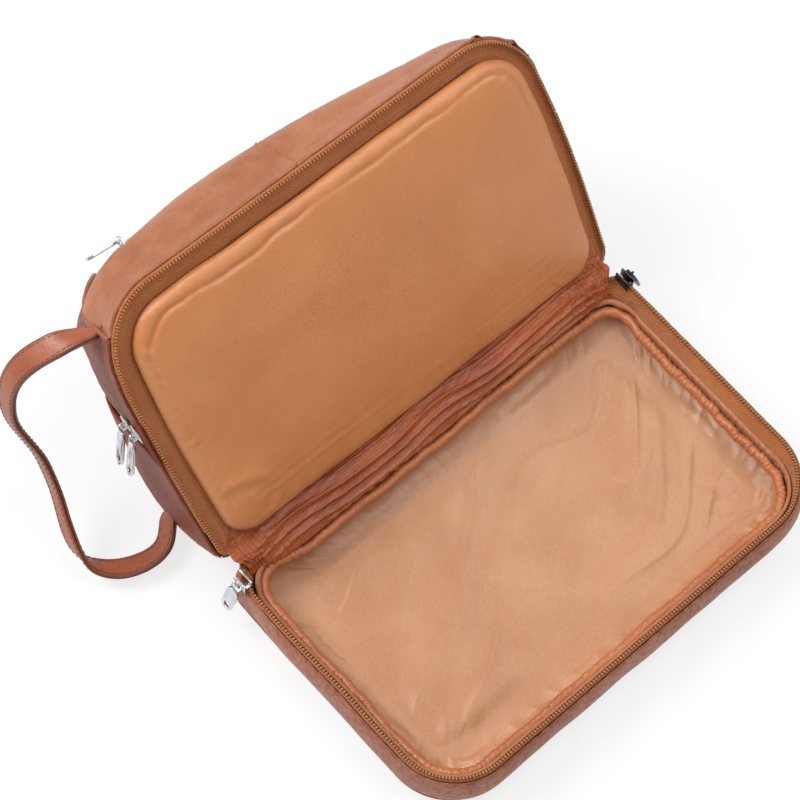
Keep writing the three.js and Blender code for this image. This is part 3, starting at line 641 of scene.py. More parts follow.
# Wrinkles: a seeded sum of cosines of waves from short to long, each leaning its own way. With
# a period, a whole number of each wave fits along u.
def ripple(u, v, seed, waves=(12, 45), lean=(0, math.pi), count=10, period=None):
    rng = np.random.default_rng(seed)
    total = np.zeros(np.broadcast(u, v).shape)
    weight = 0
    for wave, angle, phase in zip(
        np.exp(rng.uniform(math.log(waves[0]), math.log(waves[1]), count)),
        rng.uniform(*lean, count), rng.uniform(0, 2 * math.pi, count),
    ):
        alongU, alongV = 2 * math.pi * math.cos(angle) / wave, 2 * math.pi * math.sin(angle) / wave
        if period:
            alongU = 2 * math.pi * round(alongU * period / (2 * math.pi)) / period
        size = (wave / waves[1]) ** 0.7
        total = total + size * np.cos(alongU * u + alongV * v + phase)
        weight += size
    return total / weight * 2


# Sharp-backed folds: one less the size of a warped wave
def folds(u, v, seed, waves=(12, 45), lean=(0, math.pi), count=8, period=None):
    return 1 - np.abs(ripple(u, v, seed, waves, lean, count, period)) ** 0.75 * 1.6


# Plan outline: four sides and four corner arcs, front left, front right, hinge right, hinge left
cornerSide = np.array([-1, 1, 1, -1])
cornerFront = np.array([True, True, False, False])
cornerStart = np.radians([180, 270, 0, 90])
cornerRadii = np.array([bag["frontRadius"]] * 2 + [bag["hingeRadius"]] * 2)
arcLength = bag["frontRadius"] * math.pi / 2
shortArc = bag["hingeRadius"] * math.pi / 2
sideRun = bag["depth"] - bag["frontRadius"] - bag["hingeRadius"]
outlineEnds = np.cumsum([
    0, sideRun, arcLength, bag["width"] - bag["frontRadius"] * 2, arcLength,
    sideRun, shortArc, bag["width"] - bag["hingeRadius"] * 2, shortArc,
])
outlineLength = outlineEnds[-1]
zipLength = outlineEnds[5]


# A corner's point: centre + radius (cos, sin), a quarter turn long, within low and high
def arcPoint(corner, share, low, high, radius):
    angle = cornerStart[corner] + share * math.pi / 2
    x = np.where(cornerSide[corner] < 0, low[0] + radius, high[0] - radius) + radius * np.cos(angle)
    y = np.where(cornerFront[corner], low[1] + radius, high[1] - radius) + radius * np.sin(angle)
    return np.stack([x, y], axis=-1)


# The point at a distance along an outline, from the hinge end of the left side. Sides run
# straight from one arc's end to the next arc's start.
def aroundCorners(distance, corner):
    station = np.interp(np.mod(distance, outlineLength), outlineEnds, np.arange(9))
    part = np.minimum(station.astype(int), 7)
    share = station - part
    after, before = part // 2 % 4, (part // 2 - 1) % 4
    start, end = corner(before, 1.0), corner(after, 0.0)
    straight = start + (end - start) * share[..., None]
    return np.where((part % 2 == 1)[..., None], corner(after, share), straight)


# The bag's outline moved in by an inset; an arc has its radius less the inset, or the least one
def outline(distance, inset=0, least=0.3):
    distance, inset = np.broadcast_arrays(np.asarray(distance, float), np.asarray(inset, float))
    low, high = (inset - halfWidth, inset - bag["depth"]), (halfWidth - inset, -inset)
    return aroundCorners(distance, lambda corner, share: arcPoint(
        corner, share, low, high, np.maximum(cornerRadii[corner] - inset, least)))


# The outline's point with a height
def onOutline(distance, inset, z, least=0.3):
    distance, inset, z, least = np.broadcast_arrays(
        *(np.asarray(value, float) for value in (distance, inset, z, least)))
    return np.concatenate([outline(distance, inset, least), z[..., None]], axis=-1)


# Away from the outline: from its point 2 mm in to its own point, at length 1
def outward(distance):
    flat = unit(outline(distance, 0) - outline(distance, 2))
    return np.concatenate([flat, np.zeros(flat.shape[:-1] + (1,))], axis=-1)


# Main compartment's swelling: a row is an angle from 0 at the frame to 1, a quarter turn, at
# the top. Height goes by sin and depth by cos, each to the power of 2 over the fullness, and
# the ends draw in towards the top, most at the front. A row under 0 hangs straight down.
dome = {
    "zipBand": 13, "rearFullness": 2.68, "frontFullness": 2.1, "leftFullness": 1.55,
    "rightFullness": 1.08, "leftSlump": 0.3, "rightSlump": -0.35, "endFullness": 3.6,
    "topLength": 0.8, "frontDraw": 0.13, "frontSeam": 0.35, "hingeSeam": 0.5, "gussetTop": 0.94,
    "pocketZip": 0.31, "pocketGap": 10, "mainZipLow": 0.08, "zipEnd": 0.075, "hang": 100, "hem": 0.7,
}
hemRow = -dome["hem"] / dome["hang"]


def domePoint(base, row, inset=0):
    x, y = base[..., 0], base[..., 1]
    toRight = smooth(x, halfWidth * dome["rightSlump"], halfWidth)
    toLeft = smooth(-x, halfWidth * dome["leftSlump"], halfWidth)
    front = dome["frontFullness"] + (dome["rightFullness"] - dome["frontFullness"]) * toRight
    front = front + (dome["leftFullness"] - front) * toLeft
    fullness = np.where(y > centreY, dome["rearFullness"], front)
    angle = np.maximum(row, 0) * math.pi / 2
    rise = np.maximum(np.sin(angle), 0) ** (2 / fullness)
    reach = np.maximum(np.cos(angle), 0) ** (2 / fullness)
    offset = y - centreY
    kept = np.minimum(np.abs(offset), dome["zipBand"])
    newY = centreY + np.sign(offset) * (kept + (np.abs(offset) - kept) * reach)
    drawn = np.maximum(1 - rise ** dome["endFullness"], 0) ** (1 / dome["endFullness"])
    ends = dome["topLength"] + (1 - dome["topLength"]) * drawn
    ends = ends * (1 - dome["frontDraw"] * smooth(-newY, 0, bag["depth"]) * rise)
    hang = np.minimum(row, 0) * dome["hang"]
    z = shelfZ + (bag["bodyHeight"] - inset - shelfZ) * rise + hang
    return np.stack([x * ends, newY, z], axis=-1)


frontSeamLeft = outlineEnds[1] + dome["frontSeam"] * arcLength
frontSeamRight = outlineEnds[4] - dome["frontSeam"] * arcLength
rearSeamRight = outlineEnds[5] + dome["hingeSeam"] * shortArc
rearSeamLeft = outlineEnds[8] - dome["hingeSeam"] * shortArc
middleLeft = -centreY - bag["hingeRadius"]
middleRight = outlineEnds[5] - middleLeft
frontClimb = pathLength(domePoint(np.array([0.0, -bag["depth"]]), np.linspace(0, 1, 201)))[-1]
pocketHalf = dome["pocketGap"] / frontClimb / 2
pocketLow, pocketHigh = dome["pocketZip"] - pocketHalf, dome["pocketZip"] + pocketHalf


# Stations from low to high, about a step apart, with a few close ones at both ends
def stations(low, high, step, near=(0.25, 0.6, 1.1, 1.8), unitLength=1.0):
    count = max(int((high - low) / step), 4)
    close = np.array(near) / unitLength
    inner = np.linspace(low, high, count + 1)
    return np.unique(np.round(np.concatenate([inner, low + close, high - close]), 6))


# The front seams bend towards the front as they climb, and the distances beside them go along
seamBend = {"reach": 24, "from": 0.18, "to": 0.5, "beside": 60}


def bent(distance, row):
    left, right = (
        1 - smooth(np.abs(distance - at), 0, seamBend["beside"]) for at in (frontSeamLeft, frontSeamRight)
    )
    climb = smooth(row, seamBend["from"], seamBend["to"])
    return distance + seamBend["reach"] * climb * (left - right)


# Leather's relief on a patch: broad slumps, puckers near the stitched edges, and an edge that
# is turned under with a quarter round
skin = {
    "slumpWave": (24, 75), "pucker": 0.16, "puckerWave": (5, 11), "puckerReach": 9,
    "turn": 0.9, "turnShare": 0.8, "tight": 14, "hemIn": 1.0, "lip": 2.2, "lipSpan": (0.16, 0.01),
    "ridge": 0.5, "groove": 0.7,
}


def softened(points, seed, slump):
    away = normals(points)
    u, v = lengths(points, 0)[:, None], lengths(points, 1)[None, :]
    fromEdge = np.minimum(np.minimum(v, v[:, -1:] - v), np.minimum(u, u[-1:] - u))
    height = ripple(u, v, seed, skin["slumpWave"]) * slump * smooth(fromEdge, 0, skin["tight"])
    pucker = ripple(u, v, seed + 1, skin["puckerWave"]) * skin["pucker"]
    height = height + pucker * np.exp(-fromEdge / skin["puckerReach"])
    turn = skin["turn"]
    under = 1 - np.sqrt(np.maximum(1 - np.clip((turn - fromEdge) / turn, 0, 1) ** 2, 0))
    height = height - under * turn * skin["turnShare"]
    return points + away * height[..., None], away


# A patch with its relief, given by its two ends along the outline and its two rows. Joined is
# the distance of an upright seam, a groove with a raised lip. Under row 0 the leather rolls in
# to the tape, and with a lip it swells beside the pocket's zip.
def shellPatch(name, node, ends, rowEnds, material, seed, slump, joined=None, lip=0.0, step=1.8):
    distance = stations(*ends, step)
    if joined is not None:
        distance = np.unique(np.concatenate([distance, joined + np.linspace(-2.4, 2.4, 17)]))
    rows = stations(*rowEnds, step / frontClimb, unitLength=frontClimb)
    points = domePoint(outline(bent(distance[:, None], rows[None, :])), rows[None, :])
    points, away = softened(points, seed, slump)
    hem = skin["hemIn"] * (np.minimum(rows, 0) / hemRow) ** 1.5
    points = points - outward(distance)[:, None] * hem[None, :, None]
    if lip:
        swell = lip * smooth(rows, *(rowEnds[1] - before for before in skin["lipSpan"]))
        points = points + away * swell[None, :, None]
    if joined is not None:
        off = (distance - joined)[:, None]
        relief = skin["ridge"] * np.exp(-((off + 0.9) / 0.8) ** 2)
        relief = relief - skin["groove"] * np.exp(-((off - 0.3) / 0.5) ** 2)
        points = points + away * relief[..., None]
    surface(name, bodyRow(points), material, "main_body", node, "leather", thick=bag["leather"], edged=True)


shell = {"seam": 0.5, "zipGap": 0.3, "joinedAt": -3}
seam = shell["seam"]
besideZip = dome["zipBand"] + shell["zipGap"]
frontEnds = (frontSeamLeft + seam, frontSeamRight - seam)
frontMiddle = outlineEnds[2] + halfWidth - bag["frontRadius"] + shell["joinedAt"]
shellPatch("front_leather", "front_panel", frontEnds, (pocketHigh, 1), bodyLeather, 11, 0.7, frontMiddle)
shellPatch("pocket_leather", "pocket_panel", frontEnds, (hemRow, pocketLow), bodyLeather, 12, 0.4,
           frontMiddle, skin["lip"])
shellPatch("rear_leather", "rear_panel", (rearSeamRight + seam, rearSeamLeft - seam), (hemRow, 1),
           bodyLeather, 13, 0.5)
for label, ends, seed, slump in (
    ("left_front", (middleLeft + besideZip, frontSeamLeft - seam), 14, 0.7),
    ("right_front", (frontSeamRight + seam, middleRight - besideZip), 15, 0.7),
    ("right_rear", (middleRight + besideZip, rearSeamRight - seam), 16, 0.5),
    ("left_rear", (rearSeamLeft + seam, outlineLength + middleLeft - besideZip), 17, 0.5),
):
    shellPatch(f"gusset_{label}_leather", f"gusset_{label}", ends, (hemRow, dome["gussetTop"]),
               sideLeather, seed, slump)
print("shell made")


# A tube along a path: circle of the radius across the path, in the frame of two side vectors.
# The ends are closed by drawing the last rings in to a small circle.
def tube(name, node, path, sideways, upwards, radius, body, around=12):
    angle = np.linspace(0, 2 * math.pi, around, endpoint=False)
    radius = radius.copy()
    inward = np.array([0.05, 0.55, 0.85])
    radius[:3] *= inward
    radius[-3:] *= inward[::-1]
    grid = path[:, None] + radius[:, None, None] * (
        np.cos(angle)[:, None] * sideways[:, None] + np.sin(angle)[:, None] * upwards[:, None]
    )
    surface(name, grid, pipingLeather, body, node, "leather_dark", closedV=True, flip=True)


# A welt: a rolled strip over an upright seam, lifted off the skin, with fine gathers
welt = {
    "radius": 1.4, "lift": 0.9, "footLift": 0.1, "footRow": 0.12, "gather": 0.05, "wave": (21, (3, 9)),
}


# The line over a seam, lifted, with the directions along the outline and away from the skin
def overSeam(distance, rows, lift):
    def at(d, r):
        return domePoint(outline(bent(np.full_like(rows, d), r)), np.clip(r, 0, 1))
    along = unit(at(distance + 0.4, rows) - at(distance - 0.4, rows))
    climb = unit(at(distance, rows + 0.004) - at(distance, rows - 0.004))
    away = unit(np.cross(along, climb))
    return at(distance, rows) + away * lift, along, away


for label, distance in (
    ("front_left", frontSeamLeft), ("front_right", frontSeamRight),
    ("rear_right", rearSeamRight), ("rear_left", rearSeamLeft),
):
    rows = np.linspace(0, dome["gussetTop"], 150)
    lift = welt["footLift"] + (welt["lift"] - welt["footLift"]) * smooth(rows, 0, welt["footRow"])
    path, along, away = overSeam(distance, rows, lift[:, None])
    length = pathLength(path)
    radius = welt["radius"] * (1 + welt["gather"] * ripple(length, 0 * length, *welt["wave"]))
    tube(f"welt_{label}_roll", f"welt_{label}", bodyRow(path), turned(along), turned(away),
         radius / 1000, "main_body")


# Coil teeth: each one a small closed tube from root to head. Rings are ellipses whose half
# sizes along and through the row change to the head.
tooth = {
    "pitch": 1.85, "along": (0.6, 0.56, 0.52, 0.7, 0.55), "through": (0.86, 0.96, 0.9, 1.05, 0.7),
    "reach": (0.0, 0.5, 1.15, 1.7, 2.05), "around": 6, "rootCap": 0.15, "headCap": 0.12,
}


def teeth(name, node, places, along, across, away, body, place):
    around, count = tooth["around"], len(tooth["reach"])
    angle = np.linspace(0, 2 * math.pi, around, endpoint=False)
    reach, wide, deep = (np.array(tooth[key])[:, None] for key in ("reach", "along", "through"))
    ring = np.stack([wide * np.cos(angle), reach + 0 * angle, deep * np.sin(angle)], axis=-1)
    root, head = [0, reach[0, 0] - tooth["rootCap"], 0], [0, reach[-1, 0] + tooth["headCap"], 0]
    shape = np.concatenate([[root], ring.reshape(-1, 3), [head]])
    k = np.arange(around)
    nextK, last = (k + 1) % around, 1 + (count - 1) * around
    caps = np.concatenate([
        np.stack([0 * k, 1 + k, 1 + nextK], 1),
        np.stack([0 * k + last + around, last + nextK, last + k], 1),
    ])
    faces = [1 + gridQuads(count, around, closedV=True)[0], caps]
    if np.einsum("ni,ni->n", np.cross(along, across), away).mean() < 0:
        faces = [part[:, ::-1] for part in faces]
    points, faces = copied(shape, faces, places, (along, across, away))
    head = np.tile(np.clip(shape[:, 1] / tooth["reach"][-1], 0, 1) ** 3, len(places))
    mesh = buildMesh(name, place(points), faces, None, {"head": head})
    addPiece(name, mesh, zipTeeth, body, node, "teeth")


# A tape beside one of the compartment's coils
def bodyTape(name, node, grid, material, flip):
    surface(name, bodyRow(grid), material, "main_body", node, "tape", thick=bag["tape"], flip=flip)


# The zip over the top: up the left gusset, straight over and down the right one. Its tapes
# reach out from the coils and sink towards the leather.
mainZip = {
    "rows": 120, "tapeStep": 1.6, "reach": (rowFar + 0.1, 4.2, 5.4, 7.5, 10, dome["zipBand"]),
    "lift": (0.45, 0.35, 0.4, 0.3, 0.1, -0.3),
}


def zipRoute(step):
    inset, rows = bag["leather"] / 2, np.linspace(dome["mainZipLow"], 1, mainZip["rows"])
    left, right = (
        domePoint(np.broadcast_to([side * (halfWidth - inset), centreY], (len(rows), 2)), rows, inset)
        for side in (-1, 1)
    )
    line = np.concatenate([left, right[::-1]])
    whole = pathLength(line)[-1]
    return resampled(line, np.linspace(0, whole, int(whole / step) + 1))


def addMainZip():
    route, dense = zipRoute(tooth["pitch"]), zipRoute(mainZip["tapeStep"])
    along = along3(route)
    reach, lift = np.array(mainZip["reach"]), np.array(mainZip["lift"])
    for side, label in ((-1, "front"), (1, "rear")):
        shifted = route + [0, side * rowFar, 0] + (along * tooth["pitch"] / 2 if side > 0 else 0)
        across = np.broadcast_to([0.0, -side, 0.0], route.shape)
        teeth(f"main_coil_{label}", f"main_teeth_{label}", shifted, along, across,
              np.cross(along, [0, 1, 0]), "main_body", bodyRow)
        away = np.cross(along3(dense), [0, 1, 0])
        grid = dense[:, None] + reach[None, :, None] * np.array([0, side, 0])
        grid = grid + lift[None, :, None] * away[:, None]
        bodyTape(f"main_zip_tape_{label}", f"main_tape_{label}", grid, sideTape, side < 0)


# Leather patches under the zip's two ends
zipEnd = {"rowStep": 0.006, "step": 1.5, "slump": 0.2, "seed": 31}


def addZipEnds():
    rows = stations(hemRow, dome["zipEnd"], zipEnd["rowStep"], unitLength=frontClimb)
    reach = stations(-dome["zipBand"], dome["zipBand"], zipEnd["step"])
    for side, label in ((-1, "left"), (1, "right")):
        centre = domePoint(np.broadcast_to([side * halfWidth, centreY], (len(rows), 2)), rows)
        grid = centre[None] + reach[:, None, None] * np.array([0.0, 1.0, 0.0])
        grid, _ = softened(grid, zipEnd["seed"], zipEnd["slump"])
        surface(f"zip_end_{label}_leather", bodyRow(grid), sideLeather, "main_body",
                f"zip_end_{label}", "leather", thick=bag["leather"], flip=side < 0, edged=True)


# The pocket's zip: along its own row, in the gap between the two leathers, with the coils'
# rows and the tapes at shares of the gap on either side
pocketZip = {"depth": 2.3, "pitchShare": 1.005, "step": 1.8, "lift": 0.35}


def addPocketZip():
    low, high = (bent(end, dome["pocketZip"]) for end in frontEnds)
    deep = pocketZip["depth"]
    perMm = 2 * pocketHalf / dome["pocketGap"]
    for side, label in ((-1, "lower"), (1, "upper")):
        distance = np.arange(low + 1, high - 1, tooth["pitch"] * pocketZip["pitchShare"])
        base = outline(distance + (tooth["pitch"] / 2 if side > 0 else 0), deep)
        root, head = (
            domePoint(base, dome["pocketZip"] + side * row * perMm, deep) for row in (rowFar, rowNear)
        )
        along = along3(root)
        across = unit(head - root)
        away = unit(np.cross(along, across)) * -side
        teeth(f"pocket_coil_{label}", f"pocket_teeth_{label}", root, along, across, away,
              "main_body", bodyRow)
        base = outline(np.arange(low, high, pocketZip["step"]), deep)[:, None]
        reach = np.linspace(rowFar + 0.1, dome["pocketGap"] / 2 - 0.1, 5)
        grid = domePoint(base, dome["pocketZip"] + side * reach * perMm, deep)
        grid = grid + normals(grid) * pocketZip["lift"] * side
        bodyTape(f"pocket_zip_tape_{label}", f"pocket_tape_{label}", grid, zipTape, side < 0)


addMainZip()
addZipEnds()
addPocketZip()
print("zips over the compartment made")

# The compartment's half of the tray zip: coil, then tape that turns in over the divider. The
# tape is a closed profile: up inside the leather's edge, over the coil's root, in, and back.
frameTape = {
    "profile": (
        (1.6, 5.4), (1.6, 4.2), (1.75, 3.65), (2.2, 3.1), (2.9, 2.75), (3.25, 2.95), (3.4, 3.5),
        (3.65, 4.05), (4.4, 4.4), (6.5, 4.5), (9.5, 4.45), (12.6, 4.45), (14.2, 4.5), (14.2, 5.02),
        (9.5, 5.0), (6.0, 5.0), (4.5, 5.02), (3.6, 5.3), (2.8, 5.8), (2.6, 6.4),
    ),
    "step": 1.6, "wave": 0.16, "waves": (41, (18, 60)), "past": 9, "atSlider": 2.2, "sliderSpan": (12, 18),
}


# Distances along the rim of the tray zip, from a little before its start to past its end
def zipTapeStations(past):
    return np.linspace(-past, zipLength + past, int(zipLength / frameTape["step"]))


# One half of the zip between tray and compartment, on the side of the parting plane
def addRimCoil(name, node, start, side, body, place):
    root = onOutline(np.arange(start, zipLength - 1, tooth["pitch"]), toothMiddle, side * rowFar)
    across = np.broadcast_to([0.0, 0, -side], root.shape)
    away = outward(np.arange(start, zipLength - 1, tooth["pitch"]))
    teeth(name, node, root, along3(root), across, away, body, place)


def addFrameZip():
    distance = zipTapeStations(frameTape["past"])
    inset, z = np.array(frameTape["profile"]).T
    # Where the tray's sliders rest, the tape's edge stays clear of their plates
    atEnd = 1 - smooth(np.minimum(distance, zipLength - distance), *frameTape["sliderSpan"])
    place = np.maximum(inset[None], frameTape["atSlider"] * atEnd[:, None])
    grid = onOutline(distance[:, None], place, z[None])
    wave = ripple(distance[:, None], inset[None] * 0, *frameTape["waves"]) * frameTape["wave"]
    grid[..., 2] += wave * smooth(inset, 4, 8)[None]
    piece = surface("frame_zip_tape", bodyRow(grid), zipTape, "main_body", "frame_tape", "tape",
                    closedV=True)
    edited(piece, capEnds)
    addRimCoil("frame_coil", "frame_teeth", 1, 1, "main_body", bodyRow)


addFrameZip()

# Divider pad: rings go from the back round a rolled side, over a crease beside the seam, and in
# to the middle line. The face swells towards the middle with soft wrinkles. Insets and heights
# are in mm; a height is the distance in front of the back.
pad = {
    "left": 12.4, "front": 13.0, "right": 10.2, "hinge": 6.6, "frontCorner": 23, "hingeCorner": 17,
    "back": 4.3, "backRings": 6, "rings": 64, "around": 480, "middle": 58,
    "sideIn": (2.2, 1.0, 0.25, 0.0, 0.15, 0.6, 1.5, 2.8, 4.4, 6.2),
    "sideHigh": (0.0, 0.4, 1.1, 2.0, 2.9, 3.8, 4.7, 5.5, 6.2, 6.7),
    "sideWave": 0.8, "crown": 4.0, "crownReach": 55, "crownPower": 2.6,
    "seam": 7.8, "seamWidth": 1.5, "seamDepth": 0.95, "tight": (0.15, 0.95),
    "wrinkle": 0.4, "wrinkleWave": (52, (26, 95)), "pucker": 0.3, "puckerWidth": 5,
    "puckerWave": (55, (5, 14), (-0.4, 0.4), 14), "crescent": 1.1, "crescentWave": 2.5,
    "crescentAt": 14, "crescentWidth": 7, "sideSeed": 51, "sideWaves": (30, 120),
    "hingeFold": 0.3, "hingeWave": (53, (7, 16), (1.2, 1.9)), "fill": 0.55,
}


# The pad's outline: the same corners and sides as the bag's, but each side has its own inset
def padOutline(count):
    low = (pad["left"] - halfWidth, pad["front"] - bag["depth"])
    high = (halfWidth - pad["right"], -pad["hinge"])
    radii = np.array([pad["frontCorner"]] * 2 + [pad["hingeCorner"]] * 2)
    distance = np.linspace(0, outlineLength, count, endpoint=False)
    return aroundCorners(distance, lambda corner, share: arcPoint(corner, share, low, high, radii[corner]))


# The points of the middle line that face an outline
def middleOf(base, reach):
    return np.stack([np.clip(base[:, 0], -reach, reach), np.full(len(base), centreY)], axis=1)


# Points in plan with a height each
def withHeight(flat, z):
    return np.concatenate([flat, np.broadcast_to(z, flat.shape[:-1])[..., None]], axis=-1)


def addPad():
    base = padOutline(pad["around"])
    middle = middleOf(base, pad["middle"])
    inwards = unit(middle - base)
    around = pathLength(base)
    sides = ripple(around, 0 * around, pad["sideSeed"], pad["sideWaves"], period=outlineLength)
    base = base + inwards * (sides * pad["sideWave"])[:, None]
    sideIn, sideHigh = np.array(pad["sideIn"]), np.array(pad["sideHigh"])
    span = np.linalg.norm(middle - base, axis=1)
    t = np.concatenate([np.linspace(0, 0.2, 16), np.linspace(0.2, 1, pad["rings"] - 15)[1:]])[1:]
    depthIn = np.concatenate([
        np.broadcast_to(sideIn, (len(base), len(sideIn))),
        sideIn[-1] + (span[:, None] - sideIn[-1]) * t[None] ** 1.12,
    ], axis=1)
    flat = base[:, None] + inwards[:, None] * depthIn[..., None]
    x, y = flat[..., 0], flat[..., 1]
    inside = np.maximum(depthIn - sideIn[-1], 0)
    high = np.concatenate([sideHigh, np.full(len(t), sideHigh[-1])])[None]
    high = high + pad["crown"] * (1 - (1 - np.clip(inside / pad["crownReach"], 0, 1)) ** pad["crownPower"])
    # A tight line where the rolled side meets the face, strongest along the front
    u, level = around[:, None], 0 * depthIn
    seamLine = pad["seam"] + 1.5 * ripple(u, level, 54, (20, 90), period=outlineLength)
    held = np.clip(0.7 + 0.6 * ripple(u, level, 57, (26, 90), period=outlineLength), 0.1, 1.2)
    tight = (pad["tight"][0] + pad["tight"][1] * smooth(-y, 70, 150)) * held
    high = high - pad["seamDepth"] * tight * np.exp(-((depthIn - seamLine) / pad["seamWidth"]) ** 2)
    high = high + ripple(x, y, *pad["wrinkleWave"]) * pad["wrinkle"] * smooth(inside, 2, 26)
    # Puckers across the rolled side, and creases that bend round the lower left corner
    puckers = ripple(u + level, depthIn, *pad["puckerWave"], outlineLength)
    high = high + puckers * pad["pucker"] * np.exp(-((depthIn - 6) / pad["puckerWidth"]) ** 2)
    fromCorner = np.hypot((x + halfWidth - 24) / 1.15, y + 22)
    crescent = np.sin(fromCorner / pad["crescentWave"] + 0.8 * ripple(x, y, 56, (20, 50)))
    near = np.exp(-((fromCorner - pad["crescentAt"]) / pad["crescentWidth"]) ** 2)
    near = near * smooth(-x, 70, 96) * smooth(inside, 0, 5)
    high = high + pad["crescent"] * crescent * near
    hingeSide = np.exp(-((y + 20) / 13) ** 2) * smooth(inside, 0, 8)
    high = high + pad["hingeFold"] * folds(x * 0.12, y, *pad["hingeWave"]) * hingeSide
    backShare = np.linspace(0, 1, pad["backRings"])[None, :-1, None]
    backFlat = middle[:, None] + (flat[:, :1] - middle[:, None]) * backShare
    grid = np.concatenate([withHeight(backFlat, pad["back"]), withHeight(flat, pad["back"] - high)], axis=1)
    spread = laidOut(grid, backFlat.shape[1] + len(sideIn) - 1, -inwards)
    piece = surface("divider_cushion", bodyRow(grid), padSatin, "main_body", "divider_pad", "satin",
                    closedU=True, flip=True, spread=spread)
    edited(piece, closeMiddle)


addPad()

# Tray wall: leather that bellies out from the rim to the piping, most at the front and left
wall = {
    "low": -28.4, "high": -4.1, "belly": 3.2, "sag": 0.5, "pucker": 0.16, "roll": 0.7, "around": 520,
    "sagWave": (61, (18, 60)), "puckerWave": (62, (4, 10), (-0.5, 0.5), 12),
}


# The share of the belly: none along the hinge, and 0.8 plus 0.2 times a cosine elsewhere
def bellyAt(distance):
    hinge = between(distance, outlineEnds[5] - 30, outlineEnds[5] + 2, outlineEnds[7] + 4, outlineEnds[8])
    side = 0.8 + 0.2 * np.cos((distance - 330) / outlineLength * 2 * math.pi)
    return (1 - hinge) * side * smooth(distance, 0, 40)


def addTrayWall():
    distance = np.linspace(0, outlineLength, wall["around"], endpoint=False)
    share = np.concatenate([[0, 0.012, 0.03, 0.06], np.linspace(0.1, 0.94, 22), [0.97, 0.99, 1]])
    z = wall["low"] + (wall["high"] - wall["low"]) * share
    share = share[None]
    belly = wall["belly"] * bellyAt(distance)[:, None] * np.sin(math.pi * share ** 0.85) ** 0.8
    roll = wall["roll"] * (1 - np.sqrt(1 - np.clip((share - 0.93) / 0.07, 0, 1) ** 2))
    u, v = distance[:, None], (z - z[0])[None]
    sag = ripple(u, v, *wall["sagWave"], period=outlineLength) * wall["sag"]
    relief = sag * np.sin(math.pi * share) ** 0.5
    pucker = ripple(u, v, *wall["puckerWave"], outlineLength) * wall["pucker"]
    relief = relief + pucker * np.exp(-(1 - share) * 7)
    relief = relief * (1 - 0.85 * (1 - smooth(bellyAt(distance), 0, 0.3)))[:, None]
    grid = onOutline(u, 0, z[None]) + outward(distance)[:, None] * (belly - roll + relief)[..., None]
    surface("tray_wall_leather", trayRow(grid), trayLeather, "tray", "tray_wall", "leather",
            closedU=True, thick=bag["leather"], edged=True)


# A roll all round the tray: rings round the centres, out by cos and up by sin of their size
def addRoll(name, node, distance, centre, size, material, slot):
    angle = np.linspace(0, 2 * math.pi, size.shape[1], endpoint=False)[None, :, None]
    out = np.cos(angle) * outward(distance)[:, None] + np.sin(angle) * np.array([0, 0, 1.0])
    grid = centre[:, None] + size[..., None] * out
    surface(name, trayRow(grid), material, "tray", node, slot, closedU=True, closedV=True)


# Stations round the outline with the gathers of a roll at each point of its rings
def gathered(count, around, stretch, wave):
    distance = np.linspace(0, outlineLength, count, endpoint=False)
    angle = np.linspace(0, 2 * math.pi, around, endpoint=False)
    return distance, ripple(distance[:, None], angle[None] * stretch, *wave, outlineLength)


# Piping round the tray's foot: a roll with faint gathers
piping = {
    "inset": 1.6, "z": -32, "radius": 1.6, "wobble": 0.03, "count": 560, "around": 14, "stretch": 2,
    "wave": (63, (3, 9), (-0.3, 0.3), 14),
}


def addPiping():
    distance, gather = gathered(piping["count"], piping["around"], piping["stretch"], piping["wave"])
    addRoll("tray_piping_roll", "tray_piping", distance, onOutline(distance, piping["inset"], piping["z"]),
            piping["radius"] * (1 + piping["wobble"] * gather), pipingLeather, "leather_dark")


# A slab from its middle line out to a rounded edge and back, at an inset from the outline
slabShape = {"around": 300, "middle": 50, "seed": 66, "waves": (14, 50)}


def slab(name, node, look, material, slot, body, place):
    low, high = look["low"], look["low"] + look["thick"]
    base = outline(np.linspace(0, outlineLength, slabShape["around"], endpoint=False), look["inset"], 2)
    middle = middleOf(base, slabShape["middle"])
    edge = (0.97, 0.99, 1.0, 1.0, 0.99, 0.97)
    share = np.concatenate([np.linspace(0, 0.9, 8), edge, np.linspace(0.9, 0, 8)])
    half = min(0.5, look["thick"] / 2)
    z = np.concatenate([
        np.full(8, low), low + half * np.array([0, 0.1, 0.4, 1.5]), [high - half * 0.4], np.full(9, high),
    ])
    flat = middle[:, None] + (base - middle)[:, None] * share[None, :, None]
    swell = look["swell"] * smooth(1 - share, 0.01, 0.1)[None]
    wave = ripple(flat[..., 0], flat[..., 1], slabShape["seed"], slabShape["waves"]) * swell
    grid = withHeight(flat, z[None] + wave)
    edited(surface(name, place(grid), material, body, node, slot, closedU=True), closeMiddle)


# The leather under the tray, and the divider's board, which is covered in satin
trayBase = {"inset": 3.5, "low": -34, "thick": bag["leather"], "swell": 0.0}
divider = {"inset": 4.6, "low": 5.12, "thick": 2, "swell": 0.05}

# How far the rim's tape and lining lean in from the wall, and how far the rim roll and the
# elastic lie below their height at the front, in mm
tray = {
    "lean": 6.6, "leanHinge": 4.6, "leanHingeRight": 2.2, "leanLeft": 0.8, "leanLeast": 0.6,
    "drop": 1.6, "dropRight": 2.8, "dropHinge": 2.2,
}


# How near the right side and the hinge side a place is; turn is the way round the corner
def sidesAt(distance, turn):
    bend = (outlineEnds[5] - 4, outlineEnds[5] + turn)
    right = between(distance, outlineEnds[3] + 10, outlineEnds[4] + 5, *bend)
    return right, between(distance, *bend, outlineEnds[7] - 20, outlineEnds[7] + 8)


